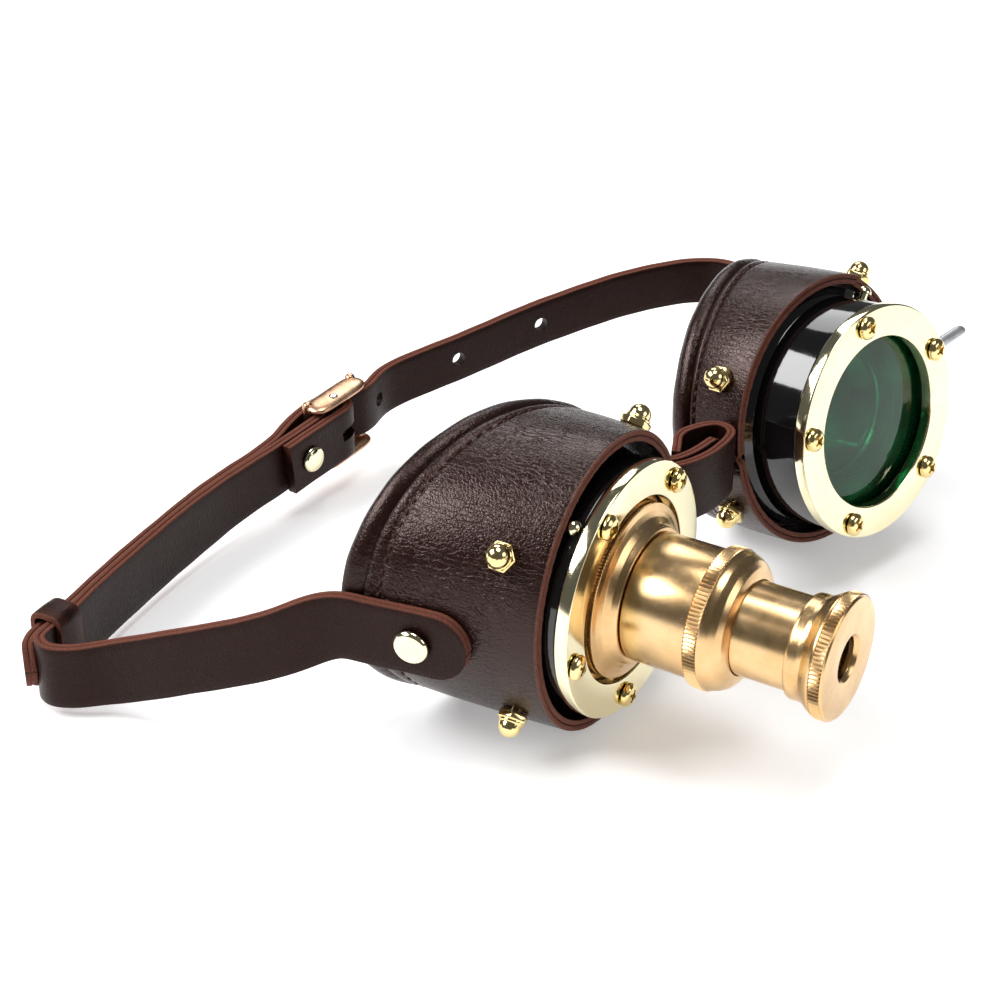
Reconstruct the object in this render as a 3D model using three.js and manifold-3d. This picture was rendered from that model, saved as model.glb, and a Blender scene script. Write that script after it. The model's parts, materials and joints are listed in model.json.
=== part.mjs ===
// Steampunk welding goggles: two leather eye cups on black housings with gilt bezels. One cup carries
// a brass telescope with a sliding draw tube, the other a green lens with an iris worked by a lever.
// A two-piece leather strap with a centre-bar buckle closes the loop behind them.
// Millimetres, +Z up. X runs from the telescope cup to the green cup, and the lenses face -Y.
import * as THREE from "three";
import { mergeVertices } from "three/addons/utils/BufferGeometryUtils.js";
import Module from "manifold-3d";

const wasm = await Module();
wasm.setup();

// ---- Driving dimensions -------------------------------------------------------------------------

const GAP = 0.3; // air between pieces that touch
const ROUND = 32; // segments of a turned piece
const FINE = 44; // segments of the largest rings
const COARSE = 12; // segments of a small fastener

const BEZEL = { radius: 28, opening: 20.5, thick: 3, edge: 0.6 };
const SCREW = { circle: 24.8, headRadius: 2.7, headHeight: 1.7, shank: 1, depth: 6.6, count: 5 };
const HOUSING = { radius: 27.3, front: BEZEL.thick + GAP, seat: 22.9, lip: 20.9, lipDepth: 7.2, bore: 24.8 };
const LENS_PLATE = { radius: 22.5, front: 3.6, back: 5.6 };
const WALL = 2.5; // leather of the cups
const ROLL = 2.7; // radius of the padded rim

// A cup's leather runs from its front edge to its stitched back edge; slant leans the back edge, so
// that the temple side is deeper than the nose side. Half-widths a (sideways) and b (upright).
const SCOPE = {
  name: "scope",
  temple: -1,
  place: [-45.5, 0, 33.4],
  yaw: 10,
  tilt: 0,
  front: { a: 30.4, b: 33.4, depth: 5.7 },
  back: { a: 36.5, b: 32, depth: 32.8 },
  slant: -0.28,
  roll: { a: 35, b: 29.7, depth: 36 },
  barrel: { radius: 29, start: 9, full: 15.5, end: 26, bore: 26.6 },
  screws: 48.5,
  nuts: [
    { angle: 148, depth: 15 },
    { angle: -139, depth: 14 },
    { angle: 48, depth: 13.5 },
    { angle: -42, depth: 13.5 },
  ],
  stud: { angle: 128, depth: 5.4, base: 27.5 },
  strapRivet: { height: -3.4, depth: 31 },
  bridgeRivet: { height: 2.1, depth: 18.2, off: 6.5 },
};
const SHADE = {
  name: "shade",
  temple: 1,
  place: [45.5, 0, 38],
  yaw: -3.8,
  tilt: 8.6,
  front: { a: 33, b: 32.8, depth: 15.3 },
  back: { a: 33.3, b: 32, depth: 39.5 },
  slant: 0.3,
  roll: { a: 31.6, b: 29.4, depth: 42.8 },
  barrel: { radius: 29.2, start: 15.6, full: 17.2, end: 28, bore: 26.8 },
  screws: 26.7,
  nuts: [
    { angle: 151.5, depth: 22 },
    { angle: -150, depth: 21.5 },
    { angle: 47, depth: 23.5 },
    { angle: -42, depth: 23.5 },
  ],
  stud: { angle: 55, depth: 16.3, base: 29.5 },
  strapRivet: { height: -2, depth: 39 },
  bridgeRivet: { height: 0.6, depth: 18.2, off: 3.5 },
};
const NUT = { hexRadius: 3.4, hexHeight: 2, domeRadius: 2.5, rimHeight: 0.9, studRadius: 1.4, hole: 1.75 };
const STUD = { radius: 1.8, shank: 1, length: 3, hole: 1.3 };

// Telescope: distances along the lens axis, outwards from the bezel's face.
const FLANGE = { radius: 19.1, face: 0.6, flareEnd: 3.9, neck: 12.2, neckEnd: 10, bore: 11.3 };
const OBJECTIVE = { radius: 12.4, back: -5.4, front: -3.2 };
const BARREL = { radius: 13.9, bore: 12.5, start: 4.2, end: 18.6 };
const MOUTH = {
  radius: 15.2,
  spigot: 12.2,
  spigotStart: 14.4,
  start: 18.9,
  bandEnd: 22,
  end: 27,
  bore: 10.2,
};
const DRAW = { radius: 10, bore: 8.8, start: 12.2, end: 44.6, stopRadius: 10.9, stopEnd: 13.9 };
const EYEPIECE = { start: 39, collar: 11.2, radius: 13.3, bandStart: 45.3, face: 48.3, hole: 4.5 };
const EYE_LENS = { radius: 8.3, back: 45, front: 46 };

// Iris of the green cup: depths behind the bezel's face.
const IRIS_PLATE = { radius: 24.5, hole: 15, front: 7.5, back: 8.5 };
const BLADE = {
  count: 6,
  inner: 14.2,
  outer: 19.6,
  lead: 6,
  sweep: 100,
  pivot: 21.3,
  firstPivot: 30,
  ear: 1.8,
  pin: 0.9,
  pinHole: 1.1,
};
const BLADE_STACK = { first: 8.8, thick: 0.35, pitch: 0.6 };
const LEVER_RING = { radius: 24.4, hole: 15, front: 12.45, back: 13.55 };
const LEVER = { angle: 5, depth: 13, radius: 1.5, from: 24.7, to: 52, down: 30 };
const IRIS_RETAINER = { radius: 24.5, hole: 15, front: 13.85, back: 14.85 };
const LEVER_TAB = { length: 5, width: 3.4, out: 1 };
const LEVER_SLOT = { inner: 22, outer: 32, front: 10.7, back: 15.3, spare: 6 };
const LEATHER_NOTCH = { inner: 20, outer: 45, from: -32, to: 64, front: 5, back: 18.6 };

// Straps stand on edge. Routes are [x, y, z] points, or [x, y] in plan, from the cup rearwards.
const STRAP = { thick: 2.4, widthA: 15, widthFold: 13.6, widthB: 12.6, segments: 3, onCup: 41 };
const STRAP_A_ROUTE = [
  [-100.8, 52.5, 23.5],
  [-110.5, 70, 16.2],
  [-118.5, 85, 10.8],
  [-123.9, 91, 9.7],
  [-126.4, 95.4, 9.6],
  [-125.4, 99.2, 9.6],
  [-120.8, 101.4, 9.6],
  [-114.2, 103.3, 9.6],
  [-102.2, 107.8, 9.7],
  [-79.5, 115.3, 10],
  [-54, 121.3, 11.3],
];
const STRAP_B_ROUTE = [
  [95.2, 66, 29.2],
  [102, 79, 29.8],
  [101.8, 89, 29.9],
  [96, 96, 29.8],
  [87.5, 101, 29.4],
  [74, 107.4, 28],
  [55.5, 115, 24.9],
  [30, 122.5, 20.8],
];
// Strap B through the buckle, as [along, out] in the buckle's frame.
const BUCKLE_ROUTE = [
  [22, -0.6],
  [13, -2.2],
  [10, -2.3],
  [8.2, -1.7],
  [6.2, -0.2],
  [4.2, 1.9],
  [1.8, 3.5],
  [-2, 4],
  [-6.5, 3.9],
  [-10, 3.4],
  [-14, 2.4],
  [-19, 1],
];
// The stretch of strap A's curve that strap B's free end runs beside, and how far outside it.
const FREE_END = { range: [0.578, 0.406], side: STRAP.thick + 0.35, steps: 13 };
// Punched holes along strap B, as places in plan.
const HOLES = [
  [3.1, 128],
  [30.2, 122.8],
  [55.5, 115.4],
];
const STRAP_HOLE = 1.5;
const RIVET = { radius: 3.9, cap: 1.5, rise: 0.25, head: 0.9, shank: 1.4, hole: 1.7, innerHead: 2.8 };
const BUCKLE = {
  place: [-12.5, 127, 15.4],
  turn: 4.4,
  rise: 5.9,
  left: -6.5,
  right: 10,
  sideOut: 0.6,
  sideRadius: 1.3,
  inside: 7.2,
  arm: 2.4,
  armFrom: -5.2,
  armTo: 2,
  corner: 1.2,
};
const BAR = { radius: 1, out: -2.6, half: 9.9, hole: 1.3 };
const FOLD = { rivet: -14.5, main: -2.5, flap: -5.6, bend: 3, end: -21.5 };
const PRONG = { ring: 2.1, bore: 1.15, half: 1.2, rod: 0.8, tip: [10.9, 3.7] };
const KEEPER = { at: 0.461, width: 7, thick: 1.5 };
const BRIDGE = { height: 15, middle: 35.5, thick: 2.2, head: 1.8, headThick: 1, shank: 1.1, hole: 1.4 };
// The nose bridge in plan: a doubled end beside the telescope cup, then a flat loop at the green cup.
const BRIDGE_ROUTE = [
  [6.2, 18.6],
  [3, 18.4],
  [-0.5, 18.2],
  [-5, 18.4],
  [-8.4, 19.5],
  [-10, 22],
  [-9.7, 25],
  [-9.2, 27.9],
  [-9.6, 28.9],
  [-10.55, 29.3],
  [-11.5, 28.9],
  [-11.9, 27.9],
  [-12.5, 24.6],
  [-13.1, 21],
  [-11.2, 17.8],
  [-7, 15.8],
  [-1.5, 15.1],
  [4.2, 15.5],
  [8.5, 16.5],
  [11, 17.8],
  [12.2, 20],
  [11.8, 22.3],
  [9.8, 24],
  [6.8, 25.3],
  [3.6, 25.8],
  [0.8, 25.1],
  [-2, 23.2],
  [-4.6, 21.5],
];

// ---- Materials ----------------------------------------------------------------------------------

const MATERIALS = {
  leather: { color: 0x3a221a, roughness: 0.45, metalness: 0 },
  trim: { color: 0x2f1b15, roughness: 0.5, metalness: 0 },
  gloss: { color: 0x060606, roughness: 0.12, metalness: 0 },
  gilt: { color: 0xe9dfae, roughness: 0.12, metalness: 1 },
  brass: { color: 0xb98a4a, roughness: 0.3, metalness: 1 },
  green: { color: 0x0f3a1c, roughness: 0.05, metalness: 0, transparent: true, opacity: 0.6 },
  clear: { color: 0xdfe8ea, roughness: 0.03, metalness: 0, transparent: true, opacity: 0.35 },
  steel: { color: 0xc9ccd0, roughness: 0.18, metalness: 1 },
  blued: { color: 0x24262a, roughness: 0.35, metalness: 0.9 },
  copper: { color: 0xb8805a, roughness: 0.25, metalness: 1 },
};

// ---- Solids -------------------------------------------------------------------------------------

const rad = THREE.MathUtils.degToRad;

// A closed three.js geometry as a manifold solid.
function solid(geometry) {
  const bare = new THREE.BufferGeometry();
  const source = geometry.index ? geometry.toNonIndexed() : geometry;
  bare.setAttribute("position", source.getAttribute("position"));
  const merged = mergeVertices(bare, 1e-4);
  const mesh = new wasm.Mesh({
    numProp: 3,
    vertProperties: merged.attributes.position.array,
    triVerts: new Uint32Array(merged.index.array),
  });
  return new wasm.Manifold(mesh);
}

function union(...solids) {
  return solids.reduce((a, b) => a.add(b));
}

function cut(body, ...tools) {
  return tools.reduce((a, b) => a.subtract(b), body);
}

// Turns a loop of [radius, height] points about +Z.
function turned(loop, segments = ROUND) {
  const points = [...loop, loop[0]].map(([r, y]) => new THREE.Vector2(r, y));
  return solid(new THREE.LatheGeometry(points, segments).rotateX(Math.PI / 2));
}

// A turned piece that reaches its own axis: points run along the outside, from axis to axis.
function turnedSolid(outline, segments) {
  const points = outline.map(([r, y]) => new THREE.Vector2(r, y));
  return solid(new THREE.LatheGeometry(points, segments).rotateX(Math.PI / 2));
}

function disc(radius, from, to, segments = ROUND) {
  const outline = [
    [0, from],
    [radius, from],
    [radius, to],
    [0, to],
  ];
  return turnedSolid(outline, segments);
}

function ring(outer, inner, from, to, segments = ROUND) {
  const loop = [
    [inner, from],
    [outer, from],
    [outer, to],
    [inner, to],
  ];
  return turned(loop, segments);
}

// A rod between two points.
function rod(from, to, radius, segments = COARSE) {
  const a = new THREE.Vector3(...from);
  const b = new THREE.Vector3(...to);
  const along = b.clone().sub(a);
  const geometry = new THREE.CylinderGeometry(radius, radius, along.length(), segments);
  const up = new THREE.Vector3(0, 1, 0);
  const turn = new THREE.Quaternion().setFromUnitVectors(up, along.clone().normalize());
  geometry.applyQuaternion(turn);
  geometry.translate(...a.add(b).multiplyScalar(0.5).toArray());
  return solid(geometry);
}

// A flat outline raised between two heights.
function extruded(shape, from, to, curveSegments) {
  const options = { depth: to - from, bevelEnabled: false, curveSegments };
  const geometry = new THREE.ExtrudeGeometry(shape, options);
  return solid(geometry.translate(0, 0, from));
}

// A part of a ring between two angles in degrees, standing on +Z.
function sector(inner, outer, fromAngle, toAngle, from, to) {
  const shape = new THREE.Shape();
  shape.absarc(0, 0, outer, rad(fromAngle), rad(toAngle), false);
  shape.absarc(0, 0, inner, rad(toAngle), rad(fromAngle), true);
  shape.closePath();
  return extruded(shape, from, to, 9);
}

function box(x, y, z, at = [0, 0, 0]) {
  return solid(new THREE.BoxGeometry(x, y, z).translate(...at));
}

// ---- Scene tree ---------------------------------------------------------------------------------

const root = new THREE.Group();

function addPiece(group, name, body, material) {
  const made = body.getMesh();
  const geometry = new THREE.BufferGeometry();
  geometry.setAttribute("position", new THREE.BufferAttribute(made.vertProperties.slice(), 3));
  geometry.setIndex(new THREE.BufferAttribute(made.triVerts.slice(), 1));
  const mesh = new THREE.Mesh(geometry, new THREE.MeshStandardMaterial(MATERIALS[material]));
  mesh.name = name;
  group.add(mesh);
}

// A cup's own frame: +Z out along the lens axis from the bezel's face, +X towards the green cup, +Y up.
function cupGroup(cup) {
  const group = new THREE.Group();
  group.position.set(...cup.place);
  group.rotation.set(rad(90 - cup.tilt), 0, rad(cup.yaw), "ZYX");
  group.updateMatrix();
  root.add(group);
  return group;
}

const mix = THREE.MathUtils.lerp;

// The leather's outer surface at an angle, a share t of the way back, and an inset from the surface.
function leatherPoint(cup, angle, t, inset) {
  const x = (mix(cup.front.a, cup.back.a, t) - inset) * Math.cos(angle);
  const y = (mix(cup.front.b, cup.back.b, t) - inset) * Math.sin(angle);
  const depth = mix(cup.front.depth, cup.back.depth, t) + t * cup.slant * x;
  return new THREE.Vector3(x, y, -depth);
}

// Radius of the leather's outer surface at an angle in degrees and a depth.
function leatherRadius(cup, degrees, depth) {
  const angle = rad(degrees);
  const near = leatherPoint(cup, angle, 0, 0);
  const far = leatherPoint(cup, angle, 1, 0);
  const t = (depth + near.z) / (near.z - far.z);
  const at = leatherPoint(cup, angle, t, 0);
  return Math.hypot(at.x, at.y);
}

// A turned tube of unit size whose points are then moved onto the leather's two surfaces.
function leatherCup(cup) {
  const stations = 4;
  const outside = 2;
  const inside = 1;
  const loop = [];
  for (let i = 0; i <= stations; i++) loop.push(new THREE.Vector2(outside, i / stations));
  for (let i = stations; i >= 0; i--) loop.push(new THREE.Vector2(inside, i / stations));
  loop.push(loop[0].clone());
  const geometry = new THREE.LatheGeometry(loop, FINE).rotateX(Math.PI / 2);
  const position = geometry.getAttribute("position");
  const middle = (inside + outside) / 2;
  for (let i = 0; i < position.count; i++) {
    const x = position.getX(i);
    const y = position.getY(i);
    const inset = Math.hypot(x, y) > middle ? 0 : WALL;
    const at = leatherPoint(cup, Math.atan2(y, x), 1 - position.getZ(i), inset);
    position.setXYZ(i, at.x, at.y, at.z);
  }
  return solid(geometry);
}

// The padded rim: a torus laid along the leather's slanted back edge.
function rimRoll(cup) {
  const { a, b, depth } = cup.roll;
  const geometry = new THREE.TorusGeometry(a, ROLL, 8, FINE);
  const position = geometry.getAttribute("position");
  for (let i = 0; i < position.count; i++) {
    const x = position.getX(i);
    const y = position.getY(i);
    const angle = Math.atan2(y, x);
    const out = Math.hypot(x, y) - a;
    const moved = [(a + out) * Math.cos(angle), (b + out) * Math.sin(angle)];
    position.setXYZ(i, ...moved, position.getZ(i) - depth - cup.slant * moved[0]);
  }
  return solid(geometry);
}

function radialDirection(degrees) {
  return [Math.cos(rad(degrees)), Math.sin(rad(degrees))];
}

// A seat on a radius of the cup: its +Z points outwards, leaning forward by an angle in radians.
function seat(degrees, depth, distance, lean = 0) {
  const [x, y] = radialDirection(degrees);
  const up = new THREE.Vector3(x * Math.cos(lean), y * Math.cos(lean), Math.sin(lean));
  const side = new THREE.Vector3(-y, x, 0);
  const matrix = new THREE.Matrix4().makeBasis(new THREE.Vector3().crossVectors(side, up), side, up);
  return matrix.setPosition(x * distance, y * distance, -depth);
}

// A seat on the leather's outer surface, square to it.
function leatherSeat(cup, degrees, depth, off = 0) {
  const reach = 2;
  const rise = leatherRadius(cup, degrees, depth + reach) - leatherRadius(cup, degrees, depth - reach);
  const lean = Math.atan(rise / (2 * reach));
  const distance = leatherRadius(cup, degrees, depth) + off * Math.cos(lean);
  return seat(degrees, depth - off * Math.sin(lean), distance, lean);
}

function place(body, matrix) {
  return body.transform(matrix.toArray());
}

// A hole through whatever stands on a seat.
function seatHole(matrix, radius, below = 12, above = 12) {
  return place(rod([0, 0, -below], [0, 0, above], radius), matrix);
}

function domeOutline(radius, foot, steps = 3) {
  const points = [];
  for (let i = 0; i <= steps; i++) {
    const angle = (i / steps) * (Math.PI / 2);
    points.push([i === steps ? 0 : radius * Math.cos(angle), foot + radius * Math.sin(angle)]);
  }
  return points;
}

// ---- Housing, bezel and fasteners ---------------------------------------------------------------

function screwAngles(cup) {
  return Array.from({ length: SCREW.count }, (_, i) => cup.screws + (i * 360) / SCREW.count);
}

function screwHoles(cup) {
  const hole = SCREW.shank + GAP;
  return screwAngles(cup).map((degrees) => {
    const [x, y] = radialDirection(degrees);
    const at = [x * SCREW.circle, y * SCREW.circle];
    return rod([...at, -SCREW.depth - GAP], [...at, 1], hole);
  });
}

function nutSeat(cup, { angle, depth }) {
  return leatherSeat(cup, angle, depth, GAP + 0.1);
}

function nutHoles(cup) {
  return cup.nuts.map((nut) => seatHole(nutSeat(cup, nut), NUT.hole));
}

function studSeat(cup) {
  return seat(cup.stud.angle, cup.stud.depth, cup.stud.base);
}

function housing(cup) {
  const { barrel } = cup;
  const loop = [
    [HOUSING.seat, -HOUSING.front],
    [HOUSING.seat, -LENS_PLATE.back - GAP],
    [HOUSING.lip, -LENS_PLATE.back - GAP],
    [HOUSING.lip, -HOUSING.lipDepth],
    [HOUSING.bore, -HOUSING.lipDepth],
    [HOUSING.bore, -barrel.start],
    [barrel.bore, -barrel.full],
    [barrel.bore, -barrel.end],
    [barrel.radius, -barrel.end],
    [barrel.radius, -barrel.full],
    [HOUSING.radius, -barrel.start],
    [HOUSING.radius, -HOUSING.front],
  ];
  const studHole = seatHole(studSeat(cup), STUD.hole, 4, 4);
  return cut(turned(loop), ...screwHoles(cup), ...nutHoles(cup), studHole);
}

function bezel(cup) {
  const { radius, opening, thick, edge } = BEZEL;
  const loop = [
    [opening, -thick],
    [radius, -thick],
    [radius, -edge],
    [radius - edge / 3, -edge / 3],
    [radius - edge, 0],
    [opening + edge / 2, 0],
    [opening, -edge / 2],
  ];
  return cut(turned(loop, FINE), ...screwHoles(cup));
}

// A pan-head screw standing on +Z, its head's underside just off 0.
function bezelScrew() {
  const flat = 0.7;
  return turnedSolid(
    [
      [0, -SCREW.depth],
      [SCREW.shank, -SCREW.depth],
      [SCREW.shank, GAP],
      [SCREW.headRadius, GAP],
      [SCREW.headRadius, GAP + flat],
      [SCREW.headRadius * 0.7, SCREW.headHeight],
      [0, SCREW.headHeight + GAP],
    ],
    COARSE,
  );
}

// A hexagonal cap nut with its stud, standing on +Z with the nut's underside at 0.
function capNut(studLength) {
  const hex = solid(
    new THREE.CylinderGeometry(NUT.hexRadius, NUT.hexRadius, NUT.hexHeight, 6)
      .rotateX(Math.PI / 2)
      .translate(0, 0, NUT.hexHeight / 2),
  );
  const cap = turnedSolid(
    [
      [0, -studLength],
      [NUT.studRadius, -studLength],
      [NUT.studRadius, NUT.hexHeight / 2],
      [NUT.domeRadius, NUT.hexHeight / 2],
      ...domeOutline(NUT.domeRadius, NUT.hexHeight + NUT.rimHeight),
    ],
    COARSE,
  );
  return union(hex, cap);
}

function domedStud() {
  const { radius, shank, length } = STUD;
  const outline = [[0, -length], [shank, -length], [shank, 0], ...domeOutline(radius, 0)];
  return turnedSolid(outline, COARSE);
}

function addCup(cup) {
  const group = cupGroup(cup);
  const strapHole = seatHole(rivetSeat(cup), RIVET.hole);
  const bridgeHole = seatHole(bridgeSeat(cup), BRIDGE.hole);
  let leather = cut(leatherCup(cup), ...nutHoles(cup), strapHole, bridgeHole);
  if (cup === SHADE) {
    const { inner, outer, from, to, front, back } = LEATHER_NOTCH;
    leather = cut(leather, sector(inner, outer, from, to, -back, -front));
  }
  addPiece(group, `${cup.name}_cup_leather`, leather, "leather");
  addPiece(group, `${cup.name}_rim_roll`, rimRoll(cup), "trim");
  let shell = housing(cup);
  if (cup === SHADE) shell = cut(shell, leverSlot());
  addPiece(group, `${cup.name}_housing`, shell, "gloss");
  addPiece(group, `${cup.name}_bezel`, bezel(cup), "gilt");
  screwAngles(cup).forEach((degrees, i) => {
    const [x, y] = radialDirection(degrees);
    const screw = bezelScrew().rotate([0, 0, degrees + 20 * i]);
    const placed = screw.translate([x * SCREW.circle, y * SCREW.circle, 0]);
    addPiece(group, `${cup.name}_bezel_screw_${i + 1}`, placed, "gilt");
  });
  cup.nuts.forEach((nut, i) => {
    const studLength = leatherRadius(cup, nut.angle, nut.depth) - cup.barrel.bore + 1.5;
    const body = place(capNut(studLength).rotate([0, 0, 13 * i]), nutSeat(cup, nut));
    addPiece(group, `${cup.name}_cup_nut_${i + 1}`, body, "gilt");
  });
  addPiece(group, `${cup.name}_housing_stud`, place(domedStud(), studSeat(cup)), "gilt");
  return group;
}

// ---- Telescope ----------------------------------------------------------------------------------

function scopeBase() {
  const { radius, face, flareEnd, neck, neckEnd, bore } = FLANGE;
  return turned([
    [OBJECTIVE.radius + GAP, -LENS_PLATE.back],
    [LENS_PLATE.radius, -LENS_PLATE.back],
    [LENS_PLATE.radius, -LENS_PLATE.front],
    [radius, -LENS_PLATE.front + GAP],
    [radius, face - 0.2],
    [radius - 1.1, face],
    [radius - 2.6, face + 0.4],
    [radius - 3.8, face + 1.4],
    [BARREL.radius + 0.7, flareEnd],
    [neck, flareEnd],
    [neck, neckEnd],
    [bore, neckEnd],
    [bore, OBJECTIVE.front + GAP],
    [OBJECTIVE.radius + GAP, OBJECTIVE.front + GAP],
  ]);
}

function scopeMouth() {
  const { radius, spigot, spigotStart, start, bandEnd, end, bore } = MOUTH;
  return turned([
    [bore, spigotStart],
    [spigot, spigotStart],
    [spigot, start],
    [radius, start],
    [radius, bandEnd],
    [radius - 0.5, bandEnd + 0.4],
    [radius - 1, bandEnd + 2],
    [radius - 2.2, bandEnd + 3.6],
    [radius - 3.6, end - 0.5],
    [bore + 0.5, end],
    [bore, end],
  ]);
}

function drawTube() {
  const { radius, bore, start, end, stopRadius, stopEnd } = DRAW;
  return turned([
    [bore, start],
    [stopRadius, start],
    [stopRadius, stopEnd],
    [radius, stopEnd],
    [radius, end],
    [bore, end],
  ]);
}

function eyepiece() {
  const { start, collar, radius, bandStart, face, hole } = EYEPIECE;
  const tubeBore = DRAW.radius + GAP;
  const lensBore = EYE_LENS.radius + GAP;
  return turned([
    [tubeBore, start],
    [collar - 0.2, start],
    [collar, start + 0.6],
    [collar, start + 2.5],
    [collar + 1.1, start + 4.6],
    [radius - 0.2, bandStart],
    [radius, bandStart + 0.2],
    [radius, face - 0.5],
    [radius - 0.5, face],
    [hole + 0.8, face],
    [hole, face - 0.9],
    [hole, EYE_LENS.front + GAP],
    [lensBore, EYE_LENS.front + GAP],
    [lensBore, DRAW.end + GAP],
    [tubeBore, DRAW.end + GAP],
  ]);
}

function addTelescope(group) {
  addPiece(group, "scope_base_flange", scopeBase(), "brass");
  const { radius, back, front } = OBJECTIVE;
  addPiece(group, "scope_objective_lens", disc(radius, back, front), "clear");
  addPiece(group, "scope_barrel", ring(BARREL.radius, BARREL.bore, BARREL.start, BARREL.end), "brass");
  addPiece(group, "scope_mouth_ring", scopeMouth(), "brass");
  addPiece(group, "scope_draw_tube", drawTube(), "brass");
  addPiece(group, "scope_eyepiece", eyepiece(), "brass");
  addPiece(group, "scope_eye_lens", disc(EYE_LENS.radius, EYE_LENS.back, EYE_LENS.front, 24), "clear");
}

// ---- Green lens and iris ------------------------------------------------------------------------

function leverSlot() {
  const { inner, outer, front, back, spare } = LEVER_SLOT;
  const from = LEVER.angle - LEVER.down - spare;
  return sector(inner, outer, from, LEVER.angle + spare, -back, -front);
}

function pivotAngle(i) {
  return BLADE.firstPivot + (i * 360) / BLADE.count;
}

function irisPlate() {
  const { radius, hole, front, back } = IRIS_PLATE;
  const pinHoles = Array.from({ length: BLADE.count }, (_, i) => {
    const [x, y] = radialDirection(pivotAngle(i));
    const hole = disc(BLADE.pinHole, -back - 1, -front + 1, COARSE);
    return hole.translate([x * BLADE.pivot, y * BLADE.pivot, 0]);
  });
  return cut(ring(radius, hole, -back, -front), ...pinHoles);
}

// A thin crescent that swings about a pin held in the iris plate.
function irisBlade(i) {
  const { inner, outer, lead, sweep, pivot, ear: earRadius } = BLADE;
  const front = BLADE_STACK.first + i * BLADE_STACK.pitch;
  const back = front + BLADE_STACK.thick;
  const start = pivotAngle(i);
  const crescent = sector(inner, outer, start - lead, start + sweep, -back, -front);
  const [x, y] = radialDirection(start);
  const at = [x * pivot, y * pivot, 0];
  const ear = disc(earRadius, -back, -front, COARSE).translate(at);
  const middle = [outer - 0.2, 0, -(front + back) / 2];
  const neck = box(earRadius * 2, earRadius * 2, BLADE_STACK.thick, middle);
  const pin = disc(BLADE.pin, -back, -IRIS_PLATE.front - 0.1, 8).translate(at);
  return union(crescent, ear, neck.rotate([0, 0, start]), pin);
}

function irisLever() {
  const { radius, hole, front, back } = LEVER_RING;
  const [x, y] = radialDirection(LEVER.angle);
  const tabMiddle = [radius + LEVER_TAB.out, 0, -(front + back) / 2];
  const flatTab = box(LEVER_TAB.length, LEVER_TAB.width, back - front, tabMiddle);
  const tab = flatTab.rotate([0, 0, LEVER.angle]);
  const [from, to] = [LEVER.from, LEVER.to].map((reach) => [x * reach, y * reach, -LEVER.depth]);
  const handle = rod(from, to, LEVER.radius);
  const tip = solid(new THREE.SphereGeometry(LEVER.radius, COARSE, 6));
  const end = tip.translate([x * LEVER.to, y * LEVER.to, -LEVER.depth]);
  return union(ring(radius, hole, -back, -front), tab, handle, end);
}

function addIris(group) {
  const { radius, front, back } = LENS_PLATE;
  addPiece(group, "shade_green_lens", disc(radius, -back, -front), "green");
  addPiece(group, "shade_iris_plate", irisPlate(), "blued");
  for (let i = 0; i < BLADE.count; i++) {
    addPiece(group, `shade_iris_blade_${i + 1}`, irisBlade(i), "blued");
  }
  addPiece(group, "shade_iris_lever", irisLever(), "steel");
  const { radius: outer, hole, front: near, back: far } = IRIS_RETAINER;
  addPiece(group, "shade_iris_retainer", ring(outer, hole, -far, -near), "blued");
}

// ---- Straps -------------------------------------------------------------------------------------

// The angle of a place at a height on one side of a circle.
function angleAt(side, height, radius) {
  return THREE.MathUtils.radToDeg(Math.atan2(height, side * Math.sqrt(radius * radius - height * height)));
}

function strapRivetAngle(cup) {
  return angleAt(cup.temple, cup.strapRivet.height, cup.back.a);
}

// Seats of a cup's two rivets, on the outer face of the strap and of the bridge.
function rivetSeat(cup) {
  const off = STRAP.thick + 3 * GAP + 0.2;
  return leatherSeat(cup, strapRivetAngle(cup), cup.strapRivet.depth, off);
}

function bridgeSeat(cup) {
  const { height, depth, off } = cup.bridgeRivet;
  return leatherSeat(cup, angleAt(-cup.temple, height, cup.front.a + 1), depth, off);
}

// A point in a cup's frame, in the frame of the whole object.
function fromCup(group, x, y, depth) {
  return new THREE.Vector3(x, y, -depth).applyMatrix4(group.matrix);
}

// A path point on the temple side of a cup, lying off the leather by half a strap.
function besideCup(cup, group, depth, extra = 0) {
  const leather = leatherRadius(cup, strapRivetAngle(cup), Math.min(depth, STRAP.onCup));
  const reach = leather + GAP + STRAP.thick / 2 + extra;
  return fromCup(group, cup.temple * reach, cup.strapRivet.height, depth);
}

function curveThrough(points) {
  return new THREE.CatmullRomCurve3(points, false, "centripetal");
}

// The upright and outward directions of a strap standing on edge along a curve.
function strapFrame(curve, t) {
  const along = curve.getTangent(t);
  const up = new THREE.Vector3(0, 0, 1);
  up.addScaledVector(along, -up.dot(along)).normalize();
  const out = new THREE.Vector3().crossVectors(up, along);
  return { at: curve.getPoint(t), along, up, out };
}

// Bends a long box along a curve. widthAt gives the upright width at a distance from each end.
function strapSolid(curve, segments, thick, widthAt) {
  const geometry = new THREE.BoxGeometry(1, 1, 1, segments, 1, 1);
  const frames = [];
  const travelled = [0];
  for (let i = 0; i <= segments; i++) {
    frames.push(strapFrame(curve, i / segments));
    if (i) travelled.push(travelled[i - 1] + frames[i].at.distanceTo(frames[i - 1].at));
  }
  const length = travelled[segments];
  const position = geometry.getAttribute("position");
  for (let i = 0; i < position.count; i++) {
    const step = Math.round((position.getX(i) + 0.5) * segments);
    const { at, up, out } = frames[step];
    const width = widthAt(travelled[step], length - travelled[step]);
    const moved = at.clone();
    moved.addScaledVector(up, position.getZ(i) * width);
    moved.addScaledVector(out, position.getY(i) * thick);
    position.setXYZ(i, moved.x, moved.y, moved.z);
  }
  return solid(geometry);
}

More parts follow.
